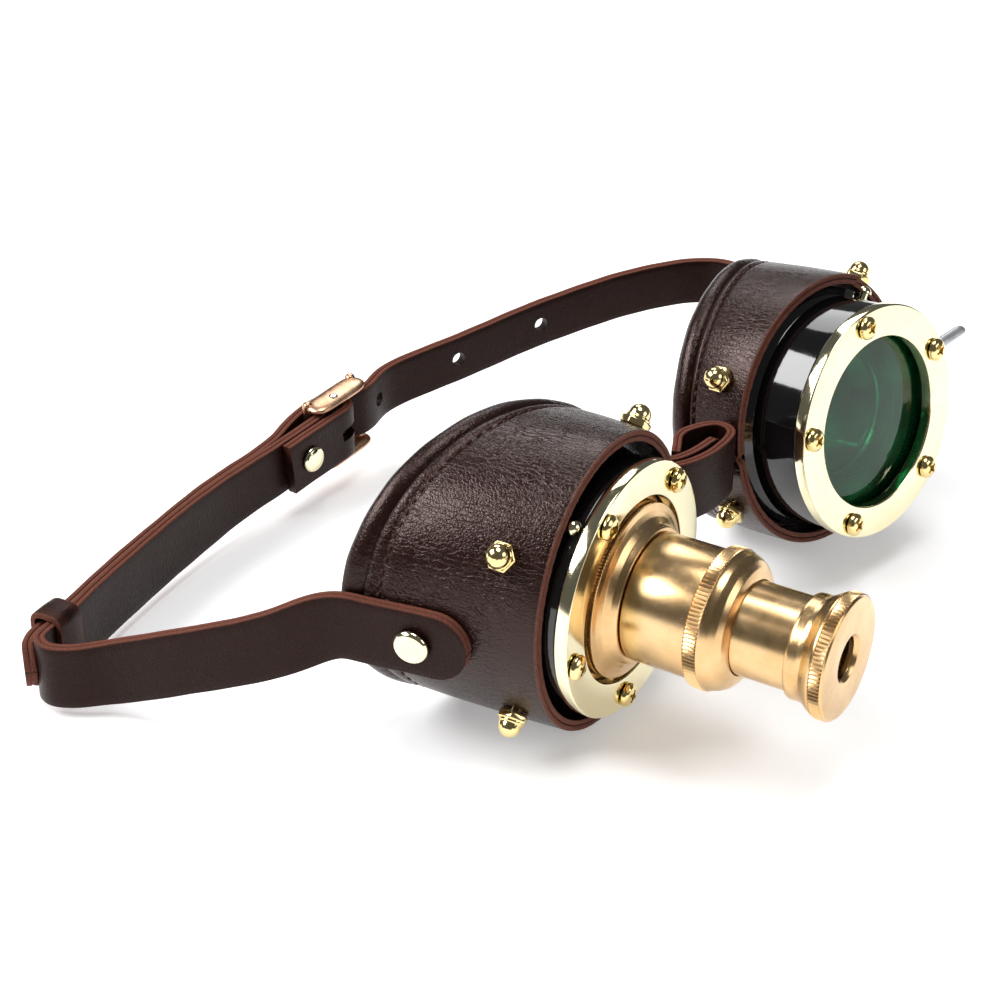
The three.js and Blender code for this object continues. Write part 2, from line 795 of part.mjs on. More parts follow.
// Width of a round-ended strap at a distance from its end.
function roundEnd(width, distance) {
  const radius = width / 2;
  const inset = Math.max(0, radius - distance);
  return Math.max(1.5, 2 * Math.sqrt(Math.max(0, radius * radius - inset * inset)));
}

// Control points bunch up at a round end, so that the end's outline is smooth.
function endPoints(from, towards, width) {
  const shares = [0, 0.04, 0.12, 0.25, 0.45, 0.7, 1];
  const step = towards.clone().sub(from).setLength(width / 2);
  return shares.map((share) => from.clone().addScaledVector(step, share));
}

const buckleGroup = new THREE.Group();
buckleGroup.position.set(...BUCKLE.place);
buckleGroup.rotation.set(0, rad(-BUCKLE.rise), rad(BUCKLE.turn), "ZYX");
buckleGroup.updateMatrix();
root.add(buckleGroup);

function fromBuckle([along, out]) {
  return new THREE.Vector3(along, out, 0).applyMatrix4(buckleGroup.matrix);
}

// Strap A: from the telescope cup back, round the bend, and through the buckle's bar as a riveted fold.
function strapACurve(scope) {
  const tip = besideCup(SCOPE, scope, 19);
  const rivet = besideCup(SCOPE, scope, SCOPE.strapRivet.depth);
  const loose = STRAP_A_ROUTE.map((p) => new THREE.Vector3(...p));
  const { main, flap, bend, end } = FOLD;
  const turn = [90, 55, 25, 0, -25, -55, -90].map((degrees) => {
    const [x, y] = radialDirection(degrees);
    return [bend * x, BAR.out + bend * y];
  });
  const fold = [
    [-24, main],
    [-14, main],
    [-7.4, main],
    [-4, main + 0.9],
    [-1.8, main + 2.2],
    ...turn,
    [-1.8, flap - 0.1],
    [-4, flap],
    [-14, flap],
    [end, flap],
  ].map(fromBuckle);
  const onCup = [rivet, besideCup(SCOPE, scope, 41, 0.2), besideCup(SCOPE, scope, 48, 2.1)];
  return curveThrough([...endPoints(tip, rivet, STRAP.widthA), ...onCup, ...loose, ...fold]);
}

function strapAWidth(fromTip, fromFlap) {
  const narrowing = THREE.MathUtils.smoothstep(fromFlap, 60, 90);
  const body = mix(STRAP.widthFold, STRAP.widthA, narrowing);
  return Math.min(body, roundEnd(STRAP.widthA, fromTip));
}

// Strap B: from the green cup back, through the buckle, then outside strap A to its own round tip.
function strapBCurve(shade, curveA) {
  const tip = besideCup(SHADE, shade, 28);
  const rivet = besideCup(SHADE, shade, SHADE.strapRivet.depth);
  const loose = STRAP_B_ROUTE.map((p) => new THREE.Vector3(...p));
  const through = BUCKLE_ROUTE.map(fromBuckle);
  const free = [];
  const { range, steps } = FREE_END;
  const [from, to] = range;
  for (let i = 0; i < steps; i++) {
    const { at, out } = strapFrame(curveA, mix(from, to, i / steps));
    free.push(at.addScaledVector(out, FREE_END.side));
  }
  const last = strapFrame(curveA, to);
  const end = last.at.addScaledVector(last.out, FREE_END.side);
  const before = free[free.length - 1];
  const rounded = endPoints(end, before, STRAP.widthB / 2).reverse();
  const onCup = [rivet, besideCup(SHADE, shade, 47, 0.3), besideCup(SHADE, shade, 54, 1.8)];
  const start = endPoints(tip, rivet, STRAP.widthB);
  return curveThrough([...start, ...onCup, ...loose, ...through, ...free, ...rounded]);
}

function strapBWidth(fromTip, fromFree) {
  return Math.min(roundEnd(STRAP.widthB, fromTip), roundEnd(STRAP.widthB, fromFree));
}

// A rivet through a stack, its cap's underside at 0 on +Z and its inner head at the given depth.
function rivet(stack, capRadius, headRadius) {
  return turnedSolid(
    [
      [0, -stack - RIVET.head],
      [headRadius, -stack - RIVET.head],
      [headRadius, -stack],
      [RIVET.shank, -stack],
      [RIVET.shank, 0],
      [capRadius, 0],
      [capRadius, RIVET.cap - 0.5],
      [capRadius - 0.5, RIVET.cap],
      [0, RIVET.cap + RIVET.rise],
    ],
    20,
  );
}

function addStraps(scope, shade) {
  const curveA = strapACurve(scope);
  const curveB = strapBCurve(shade, curveA);
  const segments = (curve) => (curve.points.length - 1) * STRAP.segments;
  let strapA = strapSolid(curveA, segments(curveA), STRAP.thick, strapAWidth);
  let strapB = strapSolid(curveB, segments(curveB), STRAP.thick, strapBWidth);
  for (const [cup, group] of [
    [SCOPE, scope],
    [SHADE, shade],
  ]) {
    const hole = place(seatHole(rivetSeat(cup), RIVET.hole, 8, 8), group.matrix);
    if (cup === SCOPE) strapA = cut(strapA, hole);
    else strapB = cut(strapB, hole);
    const stack = STRAP.thick + WALL + 5 * GAP;
    const made = place(rivet(stack, RIVET.radius, RIVET.innerHead), rivetSeat(cup));
    addPiece(group, `strap_rivet_${cup.name}`, made, "gilt");
  }
  const window = place(box(7.2, 9, 3.2, [0.9, BAR.out, 0]), buckleGroup.matrix);
  const foldHole = place(rod([FOLD.rivet, -9, 0], [FOLD.rivet, 0, 0], RIVET.hole), buckleGroup.matrix);
  strapA = cut(strapA, window, foldHole);
  const prongWay = rod([0, BAR.out, 0], [...PRONG.tip, 0], PRONG.rod + GAP + 0.1);
  strapB = cut(strapB, place(prongWay, buckleGroup.matrix));
  for (const at of HOLES) {
    const t = nearest(curveB, at);
    const { at: middle, out } = strapFrame(curveB, t);
    const from = middle.clone().addScaledVector(out, -4).toArray();
    const to = middle.clone().addScaledVector(out, 4).toArray();
    strapB = cut(strapB, rod(from, to, STRAP_HOLE));
  }
  addPiece(root, "strap_a", strapA, "leather");
  addPiece(root, "strap_b", strapB, "leather");
  addPiece(root, "strap_keeper", keeper(curveA), "trim");
  const stack = STRAP.thick + FOLD.main - FOLD.flap + 2 * GAP;
  const folded = rivet(stack, RIVET.radius - 0.5, RIVET.innerHead - 0.6);
  const placed = folded.rotate([90, 0, 0]).translate([FOLD.rivet, FOLD.flap - STRAP.thick / 2 - GAP, 0]);
  addPiece(buckleGroup, "fold_rivet", placed, "gilt");
}

// The curve parameter nearest a place in plan, on the stretch between the green cup and the buckle.
function nearest(curve, [x, y]) {
  let best = 0;
  let least = Infinity;
  const steps = 800;
  for (let i = 0; i < steps / 2; i++) {
    const at = curve.getPoint(i / steps);
    const far = Math.hypot(at.x - x, at.y - y);
    if (far < least) {
      least = far;
      best = i / steps;
    }
  }
  return best;
}

// A leather band around strap A and strap B's free end.
function keeper(curveA) {
  const { at, up, out } = strapFrame(curveA, KEEPER.at);
  const near = -STRAP.thick / 2 - GAP;
  const far = FREE_END.side + STRAP.thick / 2 + GAP;
  const middle = (near + far) / 2;
  const inside = [far - near, STRAP.widthA + 2 * GAP];
  const outside = inside.map((size) => size + 2 * KEEPER.thick);
  const band = cut(
    box(outside[0], outside[1], KEEPER.width),
    box(inside[0], inside[1], KEEPER.width + 2),
  );
  const matrix = new THREE.Matrix4().makeBasis(out, up, out.clone().cross(up));
  return place(band, matrix.setPosition(at.addScaledVector(out, middle)));
}

// ---- Buckle -------------------------------------------------------------------------------------

function roundedPlate(x0, x1, y0, y1, corner, from, to) {
  const shape = new THREE.Shape();
  shape.absarc(x1 - corner, y0 + corner, corner, -Math.PI / 2, 0, false);
  shape.absarc(x1 - corner, y1 - corner, corner, 0, Math.PI / 2, false);
  shape.absarc(x0 + corner, y1 - corner, corner, Math.PI / 2, Math.PI, false);
  shape.absarc(x0 + corner, y0 + corner, corner, Math.PI, 1.5 * Math.PI, false);
  shape.closePath();
  return extruded(shape, from, to, 3);
}

function buckleFrame() {
  const { left, right, sideOut, sideRadius, inside, arm, armFrom, armTo, corner } = BUCKLE;
  const arms = [1, -1].map((side) => {
    const near = side * inside;
    const far = side * (inside + arm);
    return roundedPlate(
      left - sideRadius,
      right + sideRadius,
      armFrom,
      armTo,
      corner,
      Math.min(near, far),
      Math.max(near, far),
    );
  });
  const reach = inside + 1;
  const sides = [left, right].map((x) => rod([x, sideOut, -reach], [x, sideOut, reach], sideRadius));
  const barHole = rod([0, BAR.out, -inside - 9], [0, BAR.out, inside + 9], BAR.hole);
  return cut(union(...arms, ...sides), barHole);
}

function prong() {
  const eye = disc(PRONG.ring, -PRONG.half, PRONG.half, COARSE).translate([0, BAR.out, 0]);
  const bore = disc(PRONG.bore, -9, 9, COARSE).translate([0, BAR.out, 0]);
  const arm = rod([0, BAR.out, 0], [...PRONG.tip, 0], PRONG.rod, 8);
  const tip = solid(new THREE.SphereGeometry(PRONG.rod, 8, 6).translate(...PRONG.tip, 0));
  return cut(union(eye, arm, tip), bore);
}

function addBuckle() {
  addPiece(buckleGroup, "buckle_frame", buckleFrame(), "copper");
  const { radius, out, half } = BAR;
  addPiece(buckleGroup, "buckle_bar", rod([0, out, -half], [0, out, half], radius), "steel");
  addPiece(buckleGroup, "buckle_prong", prong(), "copper");
}

// ---- Nose bridge --------------------------------------------------------------------------------

// A leather strip doubled and riveted to the telescope cup, folded into a flat loop at the green cup.
function addBridge(scope, shade) {
  const curve = curveThrough(BRIDGE_ROUTE.map(([x, y]) => new THREE.Vector3(x, y, BRIDGE.middle)));
  const width = () => BRIDGE.height;
  const segments = (BRIDGE_ROUTE.length - 1) * STRAP.segments;
  let strip = strapSolid(curve, segments, BRIDGE.thick, width);
  for (const [cup, group] of [
    [SCOPE, scope],
    [SHADE, shade],
  ]) {
    const { off } = cup.bridgeRivet;
    const { head, headThick, shank } = BRIDGE;
    strip = cut(strip, place(seatHole(bridgeSeat(cup), BRIDGE.hole, off + 1, 1.5), group.matrix));
    const inner = -off - WALL - GAP;
    const body = union(
      rod([0, 0, inner - headThick / 2], [0, 0, inner], head),
      rod([0, 0, inner - headThick / 4], [0, 0, headThick / 2], shank),
      rod([0, 0, 0], [0, 0, headThick], head),
    );
    const made = place(body, bridgeSeat(cup));
    addPiece(group, `bridge_rivet_${cup.name}`, made, "gilt");
  }
  addPiece(root, "nose_bridge", strip, "leather");
}

// ---- Assembly -----------------------------------------------------------------------------------

const scopeGroup = addCup(SCOPE);
const shadeGroup = addCup(SHADE);
addTelescope(scopeGroup);
addIris(shadeGroup);
addBuckle();
addStraps(scopeGroup, shadeGroup);
addBridge(scopeGroup, shadeGroup);

// The origin is the middle of the footprint, on the table.
const bounds = new THREE.Box3().setFromObject(root, true);
const centre = bounds.getCenter(new THREE.Vector3());
root.position.set(-centre.x, -centre.y, -bounds.min.z);
const framed = new THREE.Group();
framed.add(root);
framed.updateMatrixWorld(true);

export default framed;
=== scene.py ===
"""Looks of the steampunk welding goggles: leather cups, gilt bezels, a brass telescope, a green lens.

Sizes inside the script are millimetres, in the frame of a cup, of the buckle or of the whole object.
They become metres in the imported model's frame when a mesh is made.
"""

import math

import bmesh
import bpy
import numpy as np
from mathutils import Matrix, Vector
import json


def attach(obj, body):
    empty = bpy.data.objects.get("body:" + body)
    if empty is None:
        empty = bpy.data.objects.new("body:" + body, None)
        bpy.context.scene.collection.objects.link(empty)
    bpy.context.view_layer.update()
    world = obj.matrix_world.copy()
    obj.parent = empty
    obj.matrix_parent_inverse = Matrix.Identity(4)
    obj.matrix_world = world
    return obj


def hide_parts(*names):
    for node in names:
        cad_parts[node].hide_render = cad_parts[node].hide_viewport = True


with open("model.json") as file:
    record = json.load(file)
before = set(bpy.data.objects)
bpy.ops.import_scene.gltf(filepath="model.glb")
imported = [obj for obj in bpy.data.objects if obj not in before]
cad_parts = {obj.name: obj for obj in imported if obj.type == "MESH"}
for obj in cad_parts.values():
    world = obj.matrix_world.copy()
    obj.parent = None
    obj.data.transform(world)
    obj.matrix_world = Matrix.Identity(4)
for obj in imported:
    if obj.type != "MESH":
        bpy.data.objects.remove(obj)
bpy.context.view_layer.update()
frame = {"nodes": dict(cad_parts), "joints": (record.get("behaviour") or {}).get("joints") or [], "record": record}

RECORD = frame["record"]
JOINTS = {joint["name"]: joint for joint in frame["joints"]}
BODY_OF = {node: body for body, nodes in RECORD["behaviour"]["bodies"].items() for node in nodes}

# ---- Dimensions in millimetres and degrees, as in the CAD unless a line says otherwise ----

GAP = 0.3  # clearance between neighbouring pieces
WALL = 2.5  # thickness of a cup's leather
ROLL = 2.7  # radius of the padded rim
SCREW_CIRCLE = 24.8
EYEPIECE_FACE = 48.3
LEVER_DEPTH = 13
LEVER_ANGLE = 5
LEVER_SWING = 30
SLOT_SPARE = 6  # how far the lever's slot goes on past each end of its swing
SLOT_RADII = (22, 32)
SLOT_DEPTHS = (10.7, 15.3)
STRAP_THICK = 2.4
SKIN = 0.3  # how much thicker the finished leather straps are than the CAD's
STRAP_A_WIDTH = 15
STRAP_A_FOLD_WIDTH = 13.6
STRAP_B_WIDTH = 12.6
PUNCH_RADIUS = 1.9  # 1.5 in the CAD
BRIDGE_THICK = 2.2
BRIDGE_WIDTH = 15
BRIDGE_HEIGHT = 35.5
SCOPE_PLACE = Vector((-45.5, 0, 33.4))
BUCKLE_PLACE = Vector((-12.5, 127, 15.4))
BUCKLE_TURN = 4.4
BUCKLE_RISE = 5.9
BAR_OUT = -2.6  # where the buckle's centre bar lies, outwards from the buckle's origin
BAR_HOLE = 1.15  # radius of the hole for the bar in the buckle's plates; 1.3 in the CAD
FREE_END = (0.578, 0.406, STRAP_THICK + 0.35)  # strap B's last stretch: shares of strap A, and its distance
KEEPER_AT = 0.461  # share of strap A

# Each cup, with depths measured back from the bezel's face. front, back and roll are a half width, a
# half height and a depth, and slant tilts the back. A nut is an angle and a depth, the stud an angle,
# a depth and a distance, the strap's rivet a height and a depth, and the notch two angles and a depth.
SCOPE = {
    "name": "scope",
    "temple": -1,
    "front": (30.4, 33.4, 5.7),
    "back": (36.5, 32, 32.8),
    "slant": -0.28,
    "roll": (35, 29.7, 36),
    "barrel": {"radius": 29, "start": 9, "full": 15.5, "end": 26, "bore": 26.6},
    "screws": 48.5,
    "nuts": [(148, 15), (-139, 14), (48, 13.5), (-42, 13.5)],
    "stud": (128, 5.4, 27.5),
    "strap": (-3.4, 31),
    "notch": None,
    "seam": 2,
}
SHADE = {
    "name": "shade",
    "temple": 1,
    "front": (33, 32.8, 15.3),
    "back": (33.3, 32, 39.5),
    "slant": 0.3,
    "roll": (31.6, 29.4, 42.8),
    "barrel": {"radius": 29.2, "start": 15.6, "full": 17.2, "end": 28, "bore": 26.8},
    "screws": 26.7,
    "nuts": [(151.5, 22), (-150, 21.5), (47, 23.5), (-42, 23.5)],
    "stud": (55, 16.3, 29.5),
    "strap": (-2, 39),
    "notch": (-32, 64, 18.6),
    "seam": 183,
}

# ---- How fine and how soft the meshes are ----

SHARP = 38  # edges that turn by more degrees than this stay sharp
CORNER_STEPS = 3
CUP_STEPS = 300  # sections round a cup
CUP_STATIONS = 44  # steps from the front to the back of its leather
FRONT_EDGE = 0.012  # share of the leather taken by its rounded front edge
NOTCH_SOFT = 0.8
SEAM_DIP = 0.07
STITCH_SHARE = 0.93  # where the stitches lie, as a share of the way back
STITCHES = 78
STITCH_STEPS = 4  # places on a path for each stitch
THREAD_RADIUS = 0.42

# ---- Stage: places and sizes in metres, power in watts ----

FLOOR_REACH = 3
FLOOR_LEVEL = -0.0002
AIM = (0, 0, 0.03)
LIGHTS = (
    ("key", (-1.24, 1.24, 1.64), (1.8, 1.0), 60),
    ("top", (0.1, -0.1, 2.4), (1.2, 0.9), 24),
    ("back", (1.2, 1.32, 1.6), (1.0, 1.0), 12),
    ("front", (0.7, -1.9, 1.0), (1.2, 0.9), 9),
)


def rotation(degrees, axis="Z"):
    return Matrix.Rotation(math.radians(degrees), 4, axis)


def cup_matrix(joint, depth):
    """A cup's frame from one of its joints: +Z out of the lens, +Y up, origin at the bezel's face."""
    out = Vector(JOINTS[joint]["axis"]).normalized()
    right = Vector((0, 0, 1)).cross(out).normalized()
    up = out.cross(right)
    matrix = Matrix((right, up, out)).transposed().to_4x4()
    matrix.translation = Vector(JOINTS[joint]["pos_m"]) * 1000 + out * depth
    return matrix


SCOPE["matrix"] = cup_matrix("eyepiece_turn", -EYEPIECE_FACE)
SHADE["matrix"] = cup_matrix("iris_lever_swing", LEVER_DEPTH)
SHIFT = SCOPE["matrix"].translation - SCOPE_PLACE
BUCKLE_MATRIX = (
    Matrix.Translation(BUCKLE_PLACE + SHIFT)
    @ rotation(BUCKLE_TURN)
    @ rotation(-BUCKLE_RISE, "Y")
)
WORLD = Matrix.Identity(4)


# ---- Camera, floor and light ----


def new_object(name, data):
    thing = bpy.data.objects.new(name, data)
    bpy.context.scene.collection.objects.link(thing)
    return thing


def aim(thing, place, target):
    thing.location = place
    thing.rotation_euler = (Vector(target) - Vector(place)).to_track_quat("-Z", "Y").to_euler()


def add_camera():
    data = bpy.data.cameras.new("camera")
    data.lens = 75.6
    data.sensor_width = 36
    data.clip_start = 0.01
    camera = new_object("camera", data)
    place = (Vector((-339.5, -228.9, 264.2)) + SHIFT) / 1000
    back = Vector((-0.6453, -0.5854, 0.4907))
    aim(camera, place, place - back)
    bpy.context.scene.camera = camera


def add_light(name, place, size, power):
    data = bpy.data.lights.new(name, "AREA")
    data.shape = "RECTANGLE"
    data.size, data.size_y = size
    data.energy = power
    aim(new_object(name, data), place, AIM)


# ---- Materials ----


def add(tree, kind, settings=None, **inputs):
    """Adds a node. An input that is a socket is linked, any other is a value."""
    node = tree.nodes.new(kind)
    for name, value in (settings or {}).items():
        setattr(node, name, value)
    for name, value in inputs.items():
        key = int(name[1:]) if name.startswith("_") else name.replace("_", " ")
        if isinstance(value, bpy.types.NodeSocket):
            tree.links.new(value, node.inputs[key])
        else:
            node.inputs[key].default_value = value
    return node


def math_node(tree, operation, a, b):
    return add(tree, "ShaderNodeMath", {"operation": operation}, _0=a, _1=b).outputs[0]


def remap(tree, value, low, high, to_low=0.0, to_high=1.0):
    node = add(tree, "ShaderNodeMapRange", Value=value)
    for key, number in (("From Min", low), ("From Max", high), ("To Min", to_low), ("To Max", to_high)):
        node.inputs[key].default_value = number
    return node.outputs[0]


def blend_colours(tree, share, first, second):
    node = tree.nodes.new("ShaderNodeMix")
    node.data_type = "RGBA"
    for index, value in ((0, share), (6, first), (7, second)):
        if isinstance(value, bpy.types.NodeSocket):
            tree.links.new(value, node.inputs[index])
        else:
            node.inputs[index].default_value = value
    return node.outputs[2]


def blend_numbers(tree, share, first, second):
    kept = math_node(tree, "MULTIPLY", first, 1 - share)
    return math_node(tree, "ADD", kept, math_node(tree, "MULTIPLY", second, share))


def noise(tree, vector, scale, detail, rough=0.5):
    node = add(tree, "ShaderNodeTexNoise", Vector=vector, Scale=scale, Detail=detail, Roughness=rough)
    return node.outputs[0]


def cell_edges(tree, vector, scale):
    """The distance to the nearest border between cells."""
    node = add(tree, "ShaderNodeTexVoronoi", {"feature": "DISTANCE_TO_EDGE"}, Vector=vector, Scale=scale)
    return node.outputs["Distance"]


def along_axis(tree, place, axis):
    """How far along an axis a place is."""
    node = add(tree, "ShaderNodeVectorMath", {"operation": "DOT_PRODUCT"}, _0=place, _1=tuple(axis))
    return node.outputs["Value"]


def bump(tree, height, depth, strength, normal=None):
    """Relief as deep as depth in millimetres."""
    node = add(tree, "ShaderNodeBump", Height=height, Distance=depth / 1000, Strength=strength)
    if normal is not None:
        tree.links.new(normal, node.inputs["Normal"])
    return node.outputs[0]


def connect(shader, **inputs):
    for name, socket in inputs.items():
        shader.id_data.links.new(socket, shader.inputs[name.replace("_", " ")])


def new_material(name, **fixed):
    """A material whose shader has uniform values set, its tree, its shader and its place in millimetres."""
    material = bpy.data.materials.new(name)
    material.use_nodes = True
    tree = material.node_tree
    shader = tree.nodes["Principled BSDF"]
    for key, value in fixed.items():
        shader.inputs[key.replace("_", " ")].default_value = value
    place = add(tree, "ShaderNodeTexCoord").outputs["Object"]
    scaled = add(tree, "ShaderNodeVectorMath", {"operation": "SCALE"}, _0=place, Scale=1000.0)
    return material, tree, shader, scaled.outputs[0]


def stretched(tree, place, axis, amount):
    """Coordinates whose features come out longer along axis."""
    back = add(tree, "ShaderNodeVectorMath", {"operation": "SCALE"}, _0=tuple(axis))
    shift = math_node(tree, "MULTIPLY", along_axis(tree, place, axis), amount)
    tree.links.new(shift, back.inputs["Scale"])
    node = add(tree, "ShaderNodeVectorMath", {"operation": "SUBTRACT"}, _0=place, _1=back.outputs[0])
    return node.outputs[0]


WHITE = (1, 1, 1, 1)
LEATHER_SHEEN = (1, 0.75, 0.69, 1)
COAT_DARK = (0.0095, 0.0025, 0.0016)
COAT_LIGHT = (0.0215, 0.0058, 0.0038)
# painted shade: a darker colour laid into the pits of the pebbled grain
PIT_SHADE = (0.005, 0.002, 0.0016, 1)
# painted shade: a darker colour laid into the creases
CREASE_SHADE = (0.004, 0.0015, 0.0012, 1)
FIBRE_DARK = (0.075, 0.022, 0.014, 1)
FIBRE_LIGHT = (0.25, 0.088, 0.058, 1)


def leather(name, axis, creases, gloss, tone=1.0, pull=0.8, shine=0.3):
    """Coated leather: pebbled grain, fine wrinkles along axis, raw red-brown fibre at cut edges, and painted shade
    darkening the grain's pits and the creases.
    """
    material, tree, shader, place = new_material(
        name, Specular_IOR_Level=shine, Specular_Tint=LEATHER_SHEEN
    )
    along = stretched(tree, place, axis, pull)
    sway = add(tree, "ShaderNodeTexNoise", Vector=place, Scale=0.35, Detail=3.0).outputs["Color"]
    bent = add(tree, "ShaderNodeVectorMath", {"operation": "MULTIPLY_ADD"}, _0=sway, _1=(2, 2, 2), _2=along)
    crease = remap(tree, cell_edges(tree, bent.outputs[0], 0.95), 0.0, 0.1)
    where = remap(tree, noise(tree, place, 0.09, 2), 0.35, 0.6, 0.25, 1.0)
    wrinkle = noise(tree, along, 2.6, 3, 0.6)
    pebble = remap(tree, cell_edges(tree, place, 1.25), 0.0, 0.2)
    edge = add(tree, "ShaderNodeAttribute", {"attribute_name": "edge"}).outputs["Fac"]

    dark, light = ((*(value * tone for value in coat), 1) for coat in (COAT_DARK, COAT_LIGHT))
    coat = blend_colours(tree, noise(tree, place, 0.3, 4, 0.65), dark, light)
    # painted shade: the pits between the pebbles are darkened
    coat = blend_colours(tree, remap(tree, pebble, 0.0, 1.0, 0.5, 0.0), coat, PIT_SHADE)
    fibre = noise(tree, place, 4.0, 5, 0.7)
    raw = blend_colours(tree, remap(tree, fibre, 0.3, 0.7), FIBRE_DARK, FIBRE_LIGHT)
    # painted shade: the creases are darkened
    coat = blend_colours(tree, remap(tree, crease, 0.0, 1.0, 0.6, 0.0), coat, CREASE_SHADE)

    rubbed = remap(tree, noise(tree, place, 0.1, 3), 0.3, 0.7, gloss - 0.03, gloss + 0.05)
    rough = math_node(tree, "MAXIMUM", rubbed, math_node(tree, "MULTIPLY", edge, 0.8))

    depth = math_node(tree, "MULTIPLY", math_node(tree, "MULTIPLY", crease, where), creases)
    normal = bump(tree, depth, 0.08, 0.9)
    normal = bump(tree, math_node(tree, "MULTIPLY", wrinkle, where), 0.02 * creases, 0.9, normal)
    normal = bump(tree, pebble, 0.032, 0.8, normal)
    normal = bump(tree, math_node(tree, "MULTIPLY", fibre, edge), 0.3, 0.8, normal)
    connect(shader, Base_Color=blend_colours(tree, edge, coat, raw), Roughness=rough, Normal=normal)
    return material


def metal(name, colour, shade, rough, spread, grain, cloud=0.12, axis=None):
    """Metal with cloudy tarnish between two colours, uneven polish, and satin grain or turning marks."""
    material, tree, shader, place = new_material(name, Metallic=1.0)
    clouds = noise(tree, place, cloud, 4, 0.6)
    tint = blend_colours(tree, remap(tree, clouds, 0.35, 0.68), (*colour, 1), (*shade, 1))
    polish = noise(tree, place, cloud * 5, 4, 0.7)
    if axis is None:
        marks = noise(tree, place, 4.5, 4, 0.7)
    else:
        turned = add(tree, "ShaderNodeCombineXYZ", X=along_axis(tree, place, axis))
        marks = noise(tree, turned.outputs[0], 5.0, 4, 0.8)
        polish = blend_numbers(tree, 0.45, polish, marks)
    uneven = remap(tree, polish, 0.3, 0.7, rough - spread, rough + spread)
    connect(shader, Base_Color=tint, Roughness=uneven, Normal=bump(tree, marks, 0.03, grain))
    return material


def gloss_black():
    """Black enamel with a little dust and a faint ripple."""
    material, tree, shader, place = new_material("gloss", Coat_Weight=0.5, Coat_Roughness=0.02)
    dust = noise(tree, place, 2.2, 4, 0.7)
    tint = blend_colours(tree, dust, (0.0015, 0.0015, 0.0018, 1), (0.006, 0.006, 0.007, 1))
    ripple = bump(tree, noise(tree, place, 0.22, 2), 0.1, 0.35)
    connect(shader, Base_Color=tint, Roughness=remap(tree, dust, 0.3, 0.7, 0.05, 0.12), Normal=ripple)
    return material


def glass(name, clear, deep, through):
    """Glass with slow streaks between two colours and a slight smear."""
    material, tree, shader, place = new_material(name, IOR=1.4, Transmission_Weight=through)
    streak = noise(tree, place, 0.06, 3, 0.55)
    tint = blend_colours(tree, remap(tree, streak, 0.38, 0.62), (*clear, 1), (*deep, 1))
    smear = remap(tree, noise(tree, place, 0.5, 3), 0.3, 0.7, 0.0, 0.04)
    connect(shader, Base_Color=tint, Roughness=smear)
    return material


def floor_material():
    """A floor that glows a little, so that it reads as white paper."""
    material, tree, shader, place = new_material(
        "floor", Roughness=0.75, Emission_Strength=0.34, Emission_Color=WHITE
    )
    tint = blend_colours(tree, noise(tree, place, 0.02, 2), (0.93, 0.93, 0.935, 1), (0.955, 0.955, 0.96, 1))
    connect(shader, Base_Color=tint)
    return material


SCOPE_AXIS = SCOPE["matrix"].col[2].xyz
SHADE_AXIS = SHADE["matrix"].col[2].xyz
UPRIGHT = (0, 0, 1)
THREAD = leather("thread", UPRIGHT, 0.2, 0.5, 1.1)
SCOPE_LEATHER = leather("scope_leather", SCOPE_AXIS, 1.0, 0.25, shine=0.43)
SHADE_LEATHER = leather("shade_leather", SHADE_AXIS, 0.6, 0.26, shine=0.46)
STRAP_LEATHER = leather("strap_leather", UPRIGHT, 0.5, 0.34, pull=0.6, shine=0.18)
ROLL_LEATHER = leather("roll_leather", UPRIGHT, 0.3, 0.25, 0.9, 0.3, 0.42)
GILT = metal("gilt", (0.93, 0.87, 0.60), (0.90, 0.82, 0.53), 0.10, 0.03, 0.10)
GOLD = metal("gold", (0.92, 0.76, 0.38), (0.86, 0.66, 0.28), 0.13, 0.04, 0.15)
BRASS = metal("brass", (0.79, 0.55, 0.29), (0.66, 0.42, 0.19), 0.24, 0.06, 0.22, 0.1, SCOPE_AXIS)
SILVER = metal("silver", (0.80, 0.81, 0.84), (0.70, 0.71, 0.74), 0.4, 0.05, 0.3)
STEEL = metal("steel", (0.78, 0.79, 0.81), (0.62, 0.63, 0.66), 0.26, 0.05, 0.3)
BLUED = metal("blued", (0.10, 0.11, 0.13), (0.05, 0.055, 0.06), 0.34, 0.06, 0.6)
COPPER = metal("copper", (0.74, 0.47, 0.31), (0.50, 0.27, 0.15), 0.3, 0.06, 0.2, 0.25)
BLACK = gloss_black()
GREEN = glass("green", (0.01, 0.44, 0.14), (0.004, 0.15, 0.055), 0.94)
CLEAR = glass("clear", (0.90, 0.94, 0.95), (0.82, 0.88, 0.90), 1.0)


# ---- Mesh tools ----


def grid_faces(rows, columns, closed):
    """Faces between rows of points that each go right round. closed joins the last row to the first."""
    faces = []
    for i in range(rows if closed else rows - 1):
        for j in range(columns):
            a, b = i * columns, (i + 1) % rows * columns
            k = (j + 1) % columns
            faces.append((a + j, a + k, b + k, b + j))
    return faces


def tube_faces(rows, columns):
    """Faces of a tube that is closed at both ends."""
    first = tuple(reversed(range(columns)))
    last = tuple((rows - 1) * columns + j for j in range(columns))
    return [*grid_faces(rows, columns, False), first, last]


def smooth(mesh, sharp):
    """Smooth shading, with edges sharper than an angle left sharp."""
    mesh.polygons.foreach_set("use_smooth", [True] * len(mesh.polygons))
    mesh.set_sharp_from_angle(angle=math.radians(sharp))


